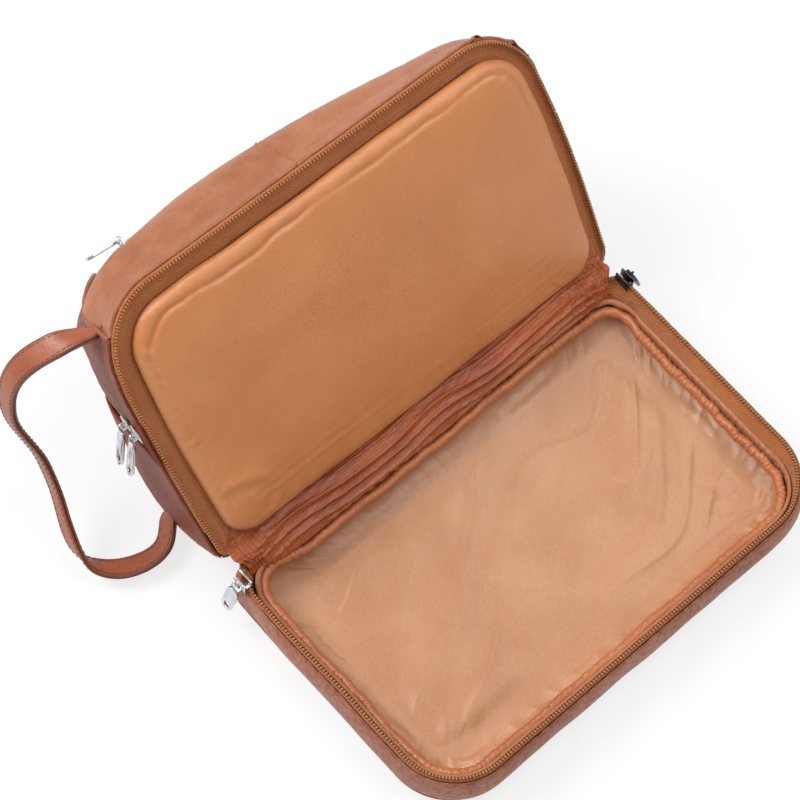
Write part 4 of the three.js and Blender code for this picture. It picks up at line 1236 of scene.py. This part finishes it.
def leanAt(distance):
    right, hinge = sidesAt(distance, 10)
    alongHinge = smooth(distance, outlineEnds[5] + 60, outlineEnds[6] + 150)
    hinge = hinge * (tray["leanHingeRight"] + (tray["leanHinge"] - tray["leanHingeRight"]) * alongHinge)
    left = smooth(distance, outlineEnds[7], outlineEnds[8])
    left = left + 1 - smooth(distance, outlineEnds[1], outlineEnds[2])
    return tray["lean"] * right + hinge + tray["leanLeft"] * np.clip(left, 0, 1) + tray["leanLeast"]


def dropAt(distance):
    right, hinge = sidesAt(distance, 20)
    return tray["drop"] + tray["dropRight"] * right + tray["dropHinge"] * hinge


# The tray's tape is a closed profile: up inside the leather's edge, over the coil's root, down
# and in by the lean, and back up behind
trayTape = {
    "flange": (
        (1.4, -5.4), (1.4, -4.2), (1.6, -3.65), (2.15, -3.1), (2.9, -2.8), (3.2, -2.95), (3.35, -3.4),
    ),
    "down": (0.12, 0.3, 0.5, 0.75, 1.0), "up": (0.75, 0.5, 0.35), "run": 11.5, "thick": 0.6, "past": 11,
    "foot": 0.2, "round": 15, "least": 0.3,
}


def addTrayZip():
    distance = zipTapeStations(trayTape["past"])
    lean = leanAt(np.mod(distance, outlineLength))[:, None]
    drop = np.sqrt(trayTape["run"] ** 2 - lean ** 2)
    flange = np.array(trayTape["flange"])
    down, up = np.array(trayTape["down"])[None], np.array(trayTape["up"])[None]
    insetStart, zStart = flange[-1]
    behind = insetStart - trayTape["thick"]
    flangeIn, flangeZ = (np.broadcast_to(values, (len(distance), len(flange))) for values in flange.T)
    inset = np.concatenate([flangeIn, insetStart + lean * down, behind + lean, behind + lean * up], axis=1)
    z = np.concatenate([
        flangeZ, zStart - drop * down, zStart - trayTape["foot"] - drop, zStart - drop * up,
    ], axis=1)
    # Lower down the tape rounds the hinge corners more widely
    deep = smooth(-z, -zStart, -zStart + 5) * trayTape["round"]
    grid = onOutline(distance[:, None], inset, z, np.maximum(deep, trayTape["least"]))
    piece = surface("tray_zip_tape", trayRow(grid), zipTape, "tray", "tray_tape", "tape", closedV=True)
    edited(piece, capEnds)
    addRimCoil("tray_coil", "tray_teeth", 2, -1, "tray", trayRow)


# The tray's lining: a rim roll beside the tape, a tuck behind the elastic, then down the wall,
# round a slack fillet and in over the base to its middle line. Gathers start at the elastic and
# run out down the wall; the base has long soft wrinkles and short creases in its corners.
# A wave is its seed, its shortest and longest waves in mm, its lean and its number of waves.
lining = {
    "inset": 4.0, "floor": -28.4, "sink": 0.7, "fillet": 16, "filletHigh": 12, "slack": 3.6,
    "round": 17, "middle": 58, "around": 900, "wallRows": 26, "filletRows": 21, "baseRings": 64,
    "rimIn": (0.1, 0.6, 1.5, 2.0, 1.9, 1.2, 0.5, 0.5),
    "rimZ": (-4.9, -4.5, -4.6, -5.3, -6.3, -7.2, -8.0, -9.2),
    "rimGather": 0.6, "tuckGather": 0.9, "rimLift": 0.15, "leanShare": 0.63, "top": 0.5,
    "rimWave": (70, (4, 12), (-0.5, 0.5), 16), "gatherWave": (71, (4.5, 9), (-0.25, 0.25), 14),
    "wallFold": 1.5, "foldWave": (72, (18, 44), (-0.7, 0.7), 10),
    "bulge": 1.2, "bulgeWave": (80, (30, 90), (-0.1, 0.1), 8),
    "cornerFold": 1.5, "edgeFold": 0.3, "tuckWave": (77, (17, 46), (-0.3, 0.3), 9),
    "ridge": 1.1, "ridgeAt": 1.15, "ridgeDrift": 0.2, "ridgeWidth": 0.16,
    "ridgeWave": (86, (50, 160), (-0.1, 0.1), 6), "driftWave": (87, (40, 90)),
    "baseWave": 1.9, "baseFold": 1.15, "warp": 12, "warpWave": (60, 130),
    "creaseWave": (76, (34, 80), (1.1, 2.0), 6), "flatEdge": 14,
    "runX": 111, "runAcross": 13, "runDown": 30, "runWave": 2.3, "runCurl": 1.3,
    "cornerRuns": ((1, -22, 0.8, 0.4), (1, -141, 0.9, 1.9), (-1, -141, 0.6, 2.7), (-1, -22, 0.5, 4.2)),
}


# How near a place along the outline is to one of the base's corners, from 0 to 1
def nearCorner(distance, reach=26):
    middles = (outlineEnds[1:8:2] + outlineEnds[2:9:2]) / 2
    apart = np.abs(np.asarray(distance)[..., None] - middles)
    apart = np.minimum(apart, outlineLength - apart)
    return np.exp(-(apart / reach) ** 2).max(axis=-1)


# Heights of the base over its floor: long waves, slantwise creases and folds in the corners
def liningBase(x, y, fromEdge):
    warpX, warpY = (
        at + lining["warp"] * ripple(x, y, seed, lining["warpWave"], count=6)
        for at, seed in ((x, 73), (y, 74))
    )
    wave = ripple(warpX, warpY, 75, (40, 130)) * lining["baseWave"]
    # A few long creases, with flat stretches between them
    slant = (warpX * 0.5 + warpY * 0.28, warpY * 0.9 - warpX * 0.5)
    crease = np.maximum(folds(*slant, *lining["creaseWave"]) - 0.15, 0) ** 1.6
    z = lining["floor"] + (wave + crease * lining["baseFold"]) * smooth(fromEdge, 0, lining["flatEdge"])
    # Folds that run out of each corner in an S: a wave across the diagonal, bent along it
    for side, high, size, seed in lining["cornerRuns"]:
        offX, offY = side * (lining["runX"] - side * x), high - y
        way = math.copysign(1, high - centreY)
        down, across = (side * offX + way * offY) * 0.7, (side * offX - way * offY) * 0.7
        curled = across + lining["runCurl"] * np.sin(down / 8 + seed)
        run = np.exp(-(across / lining["runAcross"]) ** 2 - (down / lining["runDown"]) ** 2)
        z = z + size * run * smooth(fromEdge, 0, 5) * np.sin(curled / lining["runWave"] + seed)
    return np.maximum(z, lining["floor"] - lining["sink"])


def addTrayLining():
    distance = np.linspace(0, outlineLength, lining["around"], endpoint=False)
    lean, u = leanAt(distance)[:, None], distance[:, None]
    inset, wide = lining["inset"], lining["round"]
    rimIn, rimZ = np.array(lining["rimIn"])[None], np.array(lining["rimZ"])[None]
    rimShare = (rimZ[0, 0] - rimZ) / (rimZ[0, 0] - rimZ[0, -1])
    gather = ripple(u, rimZ * 1.5, *lining["rimWave"], outlineLength)
    push = lining["rimGather"] + (lining["tuckGather"] - lining["rimGather"]) * rimShare
    rimPlace = rimZ - dropAt(distance)[:, None]
    leaning = lean * np.clip(-(rimPlace + 3.4) / trayTape["run"], 0, 1)
    rimInset = inset + leaning + rimIn + gather * push * smooth(rimShare, 0, 0.3)
    rimGrid = onOutline(u, rimInset, rimPlace + lining["rimLift"] * gather, wide)
    # Below the elastic the cloth falls back to the wall
    t = np.linspace(0, 1, lining["wallRows"])[None, 1:]
    top, low = rimPlace[:, -1:], lining["floor"] + lining["filletHigh"]
    wallZ = top + (low - top) * t
    leaning = lean * lining["leanShare"] * (1 - smooth(t, 0.05, 0.95)) + lining["top"] * (1 - t)
    gather = ripple(u, wallZ * 0.25, *lining["gatherWave"], outlineLength) * lining["tuckGather"]
    fold = folds(u, wallZ * 1.6, *lining["foldWave"], outlineLength) * lining["wallFold"]
    bulge = lining["bulge"] * ripple(u, 0 * t, *lining["bulgeWave"], outlineLength) * smooth(t, 0.2, 0.9)
    push = gather * np.exp(-t * 3) + fold * smooth(t, 0.15, 0.8) + bulge
    wallGrid = onOutline(u, inset + leaning + lining["slack"] * smooth(t, 0.3, 1) + push, wallZ, wide)
    # Round the fillet, with tucks in the corners
    turn = np.linspace(0, math.pi / 2, lining["filletRows"])[None, 1:]
    level = 0 * turn
    fold = folds(u + 3 * turn, level, *lining["foldWave"], outlineLength) * lining["wallFold"]
    corner = nearCorner(distance)[:, None]
    tuckSize = lining["edgeFold"] + (lining["cornerFold"] - lining["edgeFold"]) * corner
    tuck = folds(u + 6 * turn, level, *lining["tuckWave"], outlineLength)
    tuck = tuck * tuckSize * np.sin(turn * 2) ** 1.5
    # A soft ridge runs along the base's edge, coming and going
    ridge = np.clip(ripple(u, level, *lining["ridgeWave"], outlineLength) + 0.3, 0, 1) * lining["ridge"]
    drift = lining["ridgeDrift"] * ripple(u, level, *lining["driftWave"], period=outlineLength)
    tuck = tuck + ridge * np.exp(-((turn - lining["ridgeAt"] - drift) / lining["ridgeWidth"]) ** 2)
    filletInset = inset + lining["slack"] + lining["fillet"] * (1 - np.cos(turn))
    filletInset = filletInset + (fold + bulge[:, -1:]) * (1 - turn / (math.pi / 2)) + tuck * 0.7
    filletZ = low - lining["filletHigh"] * np.sin(turn) + tuck * 0.8
    filletGrid = onOutline(u, filletInset, filletZ, wide)
    # In over the base
    base = filletGrid[:, -1, :2]
    share = (np.linspace(0, 1, lining["baseRings"])[1:] ** 1.1)[None, :, None]
    flat = base[:, None] + (middleOf(base, lining["middle"]) - base)[:, None] * share
    fromEdge = np.linalg.norm(flat - base[:, None], axis=-1)
    baseGrid = withHeight(flat, liningBase(flat[..., 0], flat[..., 1], fromEdge))
    grid = np.concatenate([rimGrid, wallGrid, filletGrid, baseGrid], axis=1)
    spread = laidOut(grid, grid.shape[1] - baseGrid.shape[1] - 1, outward(distance)[:, :2])
    piece = surface("tray_lining_satin", trayRow(grid), traySatin, "tray", "tray_lining", "satin",
                    closedU=True, flip=True, spread=spread)
    edited(piece, closeMiddle)
    declareSheet(piece)


# The elastic's casing: a gathered roll that swells and thins, most where the gathers are dense
elastic = {
    "inset": 7.0, "z": -10.6, "radius": 2.8, "wobble": 0.1, "gathered": 0.22, "count": 1900,
    "around": 20, "stretch": 2.8, "leanShare": 0.8, "drift": 0.5, "driftShift": 90,
    "driftWave": (79, (14, 60), (-0.2, 0.2), 10), "wave": (78, (2.3, 6), (-0.7, 0.7), 22),
}


def addCasing():
    distance, gather = gathered(elastic["count"], elastic["around"], elastic["stretch"], elastic["wave"])
    start, end = outlineEnds[4], outlineEnds[6]
    right = between(distance, start - 20, start + 20, end + 10, end + 40)
    dense = np.clip(nearCorner(distance, 34) + 0.8 * right, 0, 1)[:, None]
    drift = elastic["drift"] * ripple(distance, 0 * distance, *elastic["driftWave"], outlineLength)
    inset = elastic["inset"] + leanAt(distance) * elastic["leanShare"] + drift
    z = elastic["z"] - dropAt(distance) + np.roll(drift, elastic["driftShift"])
    swell = elastic["wobble"] + (elastic["gathered"] - elastic["wobble"]) * dense
    addRoll("tray_elastic_casing", "tray_elastic", distance, onOutline(distance, inset, z, lining["round"]),
            elastic["radius"] * (1 + swell * gather), casingSatin, "elastic")


addTrayWall()
addPiping()
slab("tray_base_leather", "tray_base", trayBase, pipingLeather, "leather", "tray", trayRow)
slab("divider_board_cover", "divider_board", divider, gatheredSatin, "satin", "main_body", bodyRow)
print("divider made")
addTrayZip()
addTrayLining()
addCasing()
print("tray made")

# Lining over the hinge: from the tray's rim, over the fold, to the foot of the pad, along the
# route. Leaned is the route where the rim leans in by leanFull.
bridge = {
    "inset": 5.5, "ends": 26, "drawn": 5.0, "columns": 620, "rows": 76, "least": -1.0, "base": 0.4,
    "foot": ((0, -4.6, 4.75), (0, -13.5, 4.75)), "leanFull": 5.0, "blendRows": (18, -15),
    "route": ((0, -4.3, -12.5), (0, -4.6, -9.2), (0, -2.2, -2.4), (0, 1.4, 1.4)),
    "leaned": ((0, -8.05, -12.5), (0, -8.1, -9.2), (0, -2.95, -2.4), (0, 1.4, 1.4)),
    "gather": 1.4, "gatherWave": (81, (3.5, 10), (-0.5, 0.5), 16),
    "crinkle": 0.6, "crinkleWave": (83, (3.5, 8), (0.4, 2.7), 12),
    "bend": 1.6, "bendWave": (84, (40, 120), (-0.1, 0.1), 6),
    "crease": 1.5, "creaseWave": (82, (6.5, 13), (1.35, 1.8), 5),
    "fine": 0.4, "fineWave": (85, (2.6, 5.5), (1.3, 1.85), 9),
}


# A smooth curve through points, with steps that follow the square roots of their distances
def spline(points, count):
    points = np.asarray(points, float)
    ends = np.concatenate([[2 * points[0] - points[1]], points, [2 * points[-1] - points[-2]]])
    t = np.linspace(0, len(points) - 1, count)
    part = np.minimum(t.astype(int), len(points) - 2)
    share = (t - part)[:, None]
    a, b, c, d = (ends[part + k] for k in range(4))
    ab, bc, cd = (
        np.maximum(np.linalg.norm(q - p, axis=1, keepdims=True) ** 0.5, 1e-6)
        for p, q in ((a, b), (b, c), (c, d))
    )
    first = ((b - a) / ab - (c - a) / (ab + bc) + (c - b) / bc) * bc
    second = ((c - b) / bc - (d - b) / (bc + cd) + (d - c) / cd) * bc
    return (b + first * share + (3 * (c - b) - 2 * first - second) * share ** 2
            + (2 * (b - c) + first + second) * share ** 3)


def addBridge():
    foot = opened(np.array(bridge["foot"]))
    x = np.linspace(-halfWidth + bridge["inset"], halfWidth - bridge["inset"], bridge["columns"])
    # The route's low end follows the casing, and the ends of the cloth draw in round the corners
    lean = leanAt(outlineEnds[6] + (halfWidth - bag["hingeRadius"]) - x)
    upright, leaned = (
        spline(np.concatenate([bridge[key], foot]), bridge["rows"]) for key in ("route", "leaned")
    )
    route = upright[None] + (leaned - upright)[None] * (lean / bridge["leanFull"])[:, None, None]
    along = unit(np.gradient(route, axis=1))
    away = np.stack([0 * along[..., 0], -along[..., 2], along[..., 1]], axis=-1)
    x, v, t = x[:, None], pathLength(upright)[None], np.linspace(0, 1, bridge["rows"])[None]
    ends = smooth(np.abs(x), 84, 122)
    gather = folds(x + 0 * v, v * 0.5, *bridge["gatherWave"]) * bridge["gather"]
    crinkle = folds(x * 0.7, v, *bridge["crinkleWave"]) * bridge["crinkle"]
    bend = bridge["bend"] * ripple(x, 0 * v, *bridge["bendWave"])
    crease = folds(x * 0.03, v + bend, *bridge["creaseWave"]) * bridge["crease"]
    fine = folds(x * 0.05, v - 0.6 * bend, *bridge["fineWave"]) * bridge["fine"]
    push = bridge["base"] + (crease + fine) * (1 - 0.75 * ends)
    push = push + gather * ends + crinkle * (0.25 + 0.75 * ends)
    push = np.maximum(push * np.sin(math.pi * t) ** 0.6, bridge["least"])
    drawn = bridge["drawn"] * smooth(np.abs(x), halfWidth - bridge["ends"], halfWidth) * arch(t * 1.6)
    grid = route + push[..., None] * away
    grid[..., 0] += x - np.sign(x) * drawn
    piece = surface("hinge_lining_satin", trayRow(grid), gatheredSatin, None, "hinge_lining", "satin")
    start, end = (tuple(trayRow(upright[row])) for row in bridge["blendRows"])
    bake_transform(piece)
    declareSheet(piece)


addBridge()

# Linings inside the compartment, in two halves that stop at the zip's tape
mainLining = {
    "inset": 3.45, "low": 0.1, "columns": 150, "rows": 70, "wave": 0.9, "fold": 0.7, "in": -1.2,
    "most": 0.1, "waves": (18, 60), "foldWaves": (14, 40),
}
for label, low, high, seed in (
    ("front", middleLeft, middleRight, 85), ("rear", middleRight, outlineLength + middleLeft, 87),
):
    distance = np.linspace(low + dome["zipBand"], high - dome["zipBand"], mainLining["columns"])
    rows = np.linspace(mainLining["low"], dome["gussetTop"], mainLining["rows"])
    inset = mainLining["inset"]
    points = domePoint(outline(distance, inset)[:, None], rows[None], inset)
    u, v = lengths(points, 0)[:, None], lengths(points, 1)[None]
    push = ripple(u, v, seed, mainLining["waves"]) * mainLining["wave"] + mainLining["in"]
    push = push + folds(u, v, seed + 1, mainLining["foldWaves"]) * mainLining["fold"]
    points = points + normals(points) * np.minimum(push, mainLining["most"])[..., None]
    piece = surface(f"main_lining_{label}_satin", bodyRow(points), innerSatin, "main_body",
                    f"main_lining_{label}", "satin", flip=True)
    declareSheet(piece)
print("linings made")

# Stitches: short bowed threads along a path, each a small closed tube
stitch = {"pitch": 3.1, "length": 2.2, "radius": 0.24, "rise": 0.16, "rings": 6, "around": 5}


def stitches(name, path, away, body, place):
    along = along3(path)
    rings, around = stitch["rings"], stitch["around"]
    t = np.linspace(-1, 1, rings)
    angle = np.linspace(0, 2 * math.pi, around, endpoint=False)
    radius = stitch["radius"] * np.sqrt(np.maximum(1.02 - t ** 2, 0.02))
    shape = np.stack([
        (t * stitch["length"] / 2)[:, None] + 0 * angle, radius[:, None] * np.cos(angle),
        radius[:, None] * np.sin(angle) + (stitch["rise"] * (1 - t ** 2))[:, None],
    ], axis=-1).reshape(-1, 3)
    k = np.arange(1, around - 1)
    last = (rings - 1) * around
    caps = np.concatenate([
        np.stack([0 * k, k, k + 1], 1), np.stack([0 * k + last, last + k + 1, last + k], 1),
    ])
    own = [gridQuads(rings, around, closedV=True)[0], caps]
    points, faces = copied(shape, own, path, (along, unit(np.cross(away, along)), away))
    localMap = np.stack([
        np.repeat(t * stitch["length"] / 2000, around), np.tile(angle / (2 * math.pi), rings),
    ], axis=1)
    cornerMap = np.concatenate([np.tile(localMap[part.ravel()], (len(path), 1)) for part in own])
    addPiece(name, buildMesh(name, place(points), faces, cornerMap), thread, body)


# The handle: two layers of leather along one route through these knots. The middle is a little
# crowned, the edges are painted dark and the strap twists flat towards both ends. Front and
# rear are the heights of its sewn ends on their seams.
strap = {
    "width": 12.4, "front": 12, "rear": 54, "out": -1.5, "gap": 0.3, "thick": 1.35, "crown": 0.12,
    "twist": 34, "flat": (0.0, -0.76, 0.575), "count": 260, "dense": 1600, "blur": 60,
    "wave": 0.02, "widthWaves": (91, (15, 50)), "leatherWave": 0.08, "leatherWaves": (92, (6, 25)),
    "round": 0.45, "channel": 0.14, "stitchIn": 1.7, "plain": 14,
    "edge": (-1, -0.985, -0.93, -0.84, -0.7, -0.45, -0.15, 0.15, 0.45, 0.7, 0.84, 0.93, 0.985, 1),
    "knots": (
        (-142.1, -148.7, 21), (-152.4, -145.9, 28), (-162.4, -139.7, 37), (-169.6, -129.9, 46),
        (-173.2, -118.8, 53), (-174.6, -106.4, 59), (-172.8, -91.8, 64), (-170.6, -76.1, 67),
        (-171.5, -63, 68), (-173.3, -51.3, 68), (-176.8, -40, 66), (-180, -29.5, 63),
        (-181.4, -21.3, 60), (-180, -12.4, 56), (-172.3, -4.6, 51), (-161.2, -0.6, 47),
        (-149.2, 0.4, 46), (-141, -1.6, 49),
    ),
}


# The point of an upright seam whose height over the frame is nearest to rise
def seamPlace(distance, rise):
    points, _, _ = overSeam(distance, np.linspace(0, 1, 401), strap["out"])
    return points[np.argmin(np.abs(points[:, 2] - shelfZ - rise))]


# The route through the knots, blurred, and the length to each of its points
def strapRoute():
    start, end = seamPlace(frontSeamLeft, strap["front"]), seamPlace(rearSeamLeft, strap["rear"])
    line = spline(np.concatenate([start[None], strap["knots"], end[None]]), strap["dense"])
    blur = strap["blur"]
    kernel = np.hanning(2 * blur + 1)
    padded = np.concatenate([np.repeat(line[:1], blur, axis=0), line, np.repeat(line[-1:], blur, axis=0)])
    line = np.stack([np.convolve(column, kernel / kernel.sum(), "valid") for column in padded.T], axis=1)
    at = np.linspace(0, pathLength(line)[-1], strap["count"])
    return resampled(line, at), at


# Directions across and away from the strap, turned by its twist
def strapFrame(route):
    along, share = along3(route), np.linspace(0, 1, len(route))
    twisted = between(share, 0.02, 0.1, 0.26, 0.42) + between(share, 0.6, 0.74, 0.8, 0.95)
    turn = math.radians(strap["twist"]) * twisted[:, None]
    flat = np.array(strap["flat"]) / np.linalg.norm(strap["flat"])
    up = np.array([0.0, 0, 1]) * np.cos(turn) + flat * np.sin(turn)
    across = unit(up - along * (up * along).sum(axis=1, keepdims=True))
    return across, np.cross(along, across)


def addStrap():
    route, at = strapRoute()
    across, away = strapFrame(route)
    radius = strap["width"] / 2
    fromEnd = np.minimum(np.minimum(at, at[-1] - at), radius)
    half = np.sqrt(np.maximum(radius ** 2 - (radius - fromEnd) ** 2, 0.04))
    half = half * (1 + strap["wave"] * ripple(at, 0 * at, *strap["widthWaves"]))
    edge = np.array(strap["edge"])
    rounded = 1 - np.sqrt(np.maximum(1 - np.clip((np.abs(edge) - 0.84) / 0.16, 0, 1) ** 2, 0))
    channel = strap["channel"] * np.exp(-((np.abs(edge) - 0.7) / 0.06) ** 2)
    height = strap["thick"] + strap["crown"] * (1 - edge ** 2) - strap["round"] * rounded - channel
    wave = ripple(at[:, None], edge[None] * 5, *strap["leatherWaves"]) * strap["leatherWave"]
    fromSide = half[:, None] * (1 - np.abs(edge))[None]
    plain = slice(strap["plain"], -strap["plain"])
    for label, side in (("strap", 1), ("backing", -1)):
        near = strap["gap"] / 2 * side
        grid = np.concatenate([
            route[:, None] + half[:, None, None] * places[None, :, None] * across[:, None]
            + heights[..., None] * away[:, None]
            for places, heights in (
                (edge, near + side * (height[None] + wave)), (edge[::-1], np.full_like(wave, near)),
            )
        ], axis=1)
        own = {"edge": np.concatenate([fromSide, 0 * fromSide], axis=1)}
        name = f"handle_{label}_leather"
        piece = surface(name, bodyRow(grid), strapLeather, "handle", f"handle_{label}", "leather",
                        closedV=True, flip=side > 0, attributes=own)
        edited(piece, capEnds)
        for row, rowLabel in ((-1, "lower"), (1, "upper")):
            line = route + row * (half - strap["stitchIn"]).clip(0.5)[:, None] * across
            line = line + side * (strap["gap"] / 2 + strap["thick"]) * away
            line = spaced(np.concatenate([line[plain], away[plain]], axis=1), stitch["pitch"])
            stitches(f"{name}_stitch_{rowLabel}", line[:, :3], unit(line[:, 3:]) * side, "handle", bodyRow)


addStrap()
print("handle made")

# A stitch row on the leather above the pocket's zip
pocketStitch = {"fromSeam": 16, "above": 2.4, "lift": -0.05, "probe": 0.01, "count": 400}


def addPocketStitch():
    clear = pocketStitch["fromSeam"]
    base = outline(np.linspace(frontSeamLeft + clear, frontSeamRight - clear, pocketStitch["count"]))
    row = pocketHigh + pocketStitch["above"] / frontClimb
    line = spaced(domePoint(base, row), stitch["pitch"])
    climb = spaced(domePoint(base, row + pocketStitch["probe"]), stitch["pitch"])[: len(line)]
    line = line[: len(climb)]
    away = unit(np.cross(along3(line), unit(climb - line)))
    stitches("pocket_stitch_upper", line + away * pocketStitch["lift"], away, "main_body", bodyRow)


addPocketStitch()

# Hinge: a rolled fold on the axis and a leaf sewn to each half. A leaf's section is given as
# height over the hinge's plane and distance from its axis.
hinge = {
    "radius": 1.3, "share": 0.92, "wave": 0.05, "waves": (95, (3, 10)), "count": 320,
    "leafCount": 160, "leafWave": 0.06, "leafWaves": (96, (8, 30)),
    "section": ((0.3, 1.5), (0.3, 10.5), (0.6, 10.6), (1.3, 10.55), (1.5, 10.2), (1.5, 1.8), (1.2, 1.5)),
    "stitchHigh": 1.55, "stitchAt": 8.8,
}


def addHinge():
    reach = halfWidth - bag["hingeRadius"]
    x = np.linspace(-reach, reach, hinge["count"])
    path = np.stack([x, np.full_like(x, bag["hingeY"]), 0 * x], axis=1)
    sideways, upwards = (np.broadcast_to(way, path.shape) for way in ([0.0, 1, 0], [0.0, 0, 1]))
    radius = hinge["radius"] * (hinge["share"] + hinge["wave"] * ripple(x, 0 * x, *hinge["waves"]))
    tube("hinge_fold_roll", "hinge_fold", trayRow(path), sideways, upwards, radius / 1000, "tray")
    high, out = np.array(hinge["section"]).T[:, None]
    inner = np.linspace(-reach + 2, reach - 2, hinge["leafCount"])
    ends = np.array([-reach, -reach + 0.4, *inner, reach - 0.4, reach])[:, None]
    high = high + hinge["leafWave"] * ripple(ends, out, *hinge["leafWaves"]) * (high > 1)
    for half, side, body, place in (("tray", -1, "tray", trayRow), ("body", 1, "main_body", bodyRow)):
        name, level = f"hinge_leaf_{half}_leather", 0 * high
        grid = np.stack([ends + level, high, side * out + level], axis=-1)
        piece = surface(name, place(grid), bodyLeather, body, f"hinge_leaf_{half}", "leather",
                        closedV=True, flip=side < 0)
        edited(piece, capEnds)
        row = np.stack([x, hinge["stitchHigh"] + 0 * x, side * hinge["stitchAt"] + 0 * x], axis=1)
        line = spaced(row, stitch["pitch"])
        stitches(f"{name}_stitch", line, np.broadcast_to([0.0, 1, 0], line.shape), body, place)


addHinge()

# Sliders and pulls: the CAD shapes, merged and with their edges rounded over
metal = {"edge": 0.22, "segments": 2, "flat": 1.5, "sharp": 32, "merge": 0.000002}


# The object that stands for a CAD node
def cadObject(node):
    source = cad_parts[node]
    return bpy.data.objects[source] if isinstance(source, str) else source


def roundedCopy(node, material):
    source, name = cadObject(node), f"{node}_metal"
    mesh = bpy.data.meshes.new(name)
    work = bmesh.new()
    work.from_mesh(source.data)
    bmesh.ops.transform(work, matrix=source.matrix_world, verts=work.verts)
    bmesh.ops.remove_doubles(work, verts=work.verts, dist=metal["merge"])
    bmesh.ops.dissolve_limit(
        work, angle_limit=math.radians(metal["flat"]), verts=work.verts, edges=work.edges)
    work.to_mesh(mesh)
    work.free()
    mesh.polygons.foreach_set("use_smooth", np.ones(len(mesh.polygons), bool))
    piece = addPiece(name, mesh, material, node, node, "metal")
    bevel = piece.modifiers.new("edges", "BEVEL")
    bevel.width = metal["edge"] / 1000
    bevel.segments = metal["segments"]
    bevel.limit_method = "ANGLE"
    bevel.angle_limit = math.radians(metal["sharp"])
    bevel.harden_normals = True


for zipName in ("main_lower", "main_upper", "pocket", "tray_left", "tray_right"):
    for part in ("slider", "pull"):
        roundedCopy(f"{zipName}_{part}", gunmetal if zipName == "tray_right" else chrome)
boardMaterials = cadObject("tray_board").data.materials
boardMaterials.clear()
boardMaterials.append(millboard)
print("metal and board made")

# Floor, world and lamps; a lamp's place is to the right, up and out along the camera's axes
studio = {
    "floor": 6, "floorColour": (0.86, 0.86, 0.87), "grainColour": (0.9, 0.9, 0.91), "under": -0.0006,
    "lift": 0.75, "world": 0.5, "aim": (0.0, 0.0, 0.05),
    "key": {"size": 0.8, "power": 21, "place": (-1.0, 0.75, 1.1)},
    "fill": {"size": 0.9, "power": 9, "place": (0.55, 0.75, 1.25)},
}


# A large plane with faint grain. To the camera, mirrors and glass, a share of it glows white.
def addFloor():
    axis = np.linspace(-studio["floor"] / 2, studio["floor"] / 2, 3)
    x, y = np.meshgrid(axis, axis, indexing="ij")
    f = Finish("floor")
    camera, glossy, through = (
        f.node("ShaderNodeLightPath", output=f"Is {kind} Ray")
        for kind in ("Camera", "Glossy", "Transmission")
    )
    tone = f.blend(f.noise(f.place(), 60, 2) * 0.3, studio["floorColour"], studio["grainColour"])
    plain = f.node("ShaderNodeBsdfDiffuse", None, {"Color": tone})
    glow = f.node("ShaderNodeEmission", None, {"Color": (1, 1, 1, 1), "Strength": 1.0})
    share = (camera + glossy + through).clamped() * studio["lift"]
    both = f.node("ShaderNodeMixShader", None, {0: share, 1: plain, 2: glow})
    f.node("ShaderNodeOutputMaterial", None, {"Surface": both})
    points = np.stack([x, y, np.full_like(x, studio["under"])], axis=-1).reshape(-1, 3)
    floor = inScene("floor", buildMesh("floor", points, [gridQuads(3, 3)[0]]))
    floor.data.materials.append(f.material)


# A round lamp at its place, facing the aim
def addLamp(name):
    lamp, aim = studio[name], Vector(studio["aim"])
    data = bpy.data.lights.new(name, "AREA")
    data.shape = "DISK"
    data.size = lamp["size"]
    data.energy = lamp["power"]
    sideways, upwards, out = lamp["place"]
    place = aim + rightward * sideways + upward * upwards + backward * out
    turn = (place - aim).to_track_quat("Z", "Y").to_matrix().to_4x4()
    inScene(name, data).matrix_world = Matrix.Translation(place) @ turn


# The camera sees a white world, but the world lights the pieces at its own strength
def addWorld():
    world = bpy.data.worlds.new("studio")
    bpy.context.scene.world = world
    world.use_nodes = True
    tree = world.node_tree
    tree.nodes.clear()
    background = tree.nodes.new("ShaderNodeBackground")
    background.inputs["Color"].default_value = (1, 1, 1, 1)
    path = tree.nodes.new("ShaderNodeLightPath")
    seen = Shade(tree, path.outputs["Is Camera Ray"])
    strength = seen * (1 - studio["world"]) + studio["world"]
    tree.links.new(strength.socket, background.inputs["Strength"])
    output = tree.nodes.new("ShaderNodeOutputWorld")
    tree.links.new(background.outputs[0], output.inputs["Surface"])


addFloor()
addLamp("key")
addLamp("fill")
addWorld()
print("studio made")
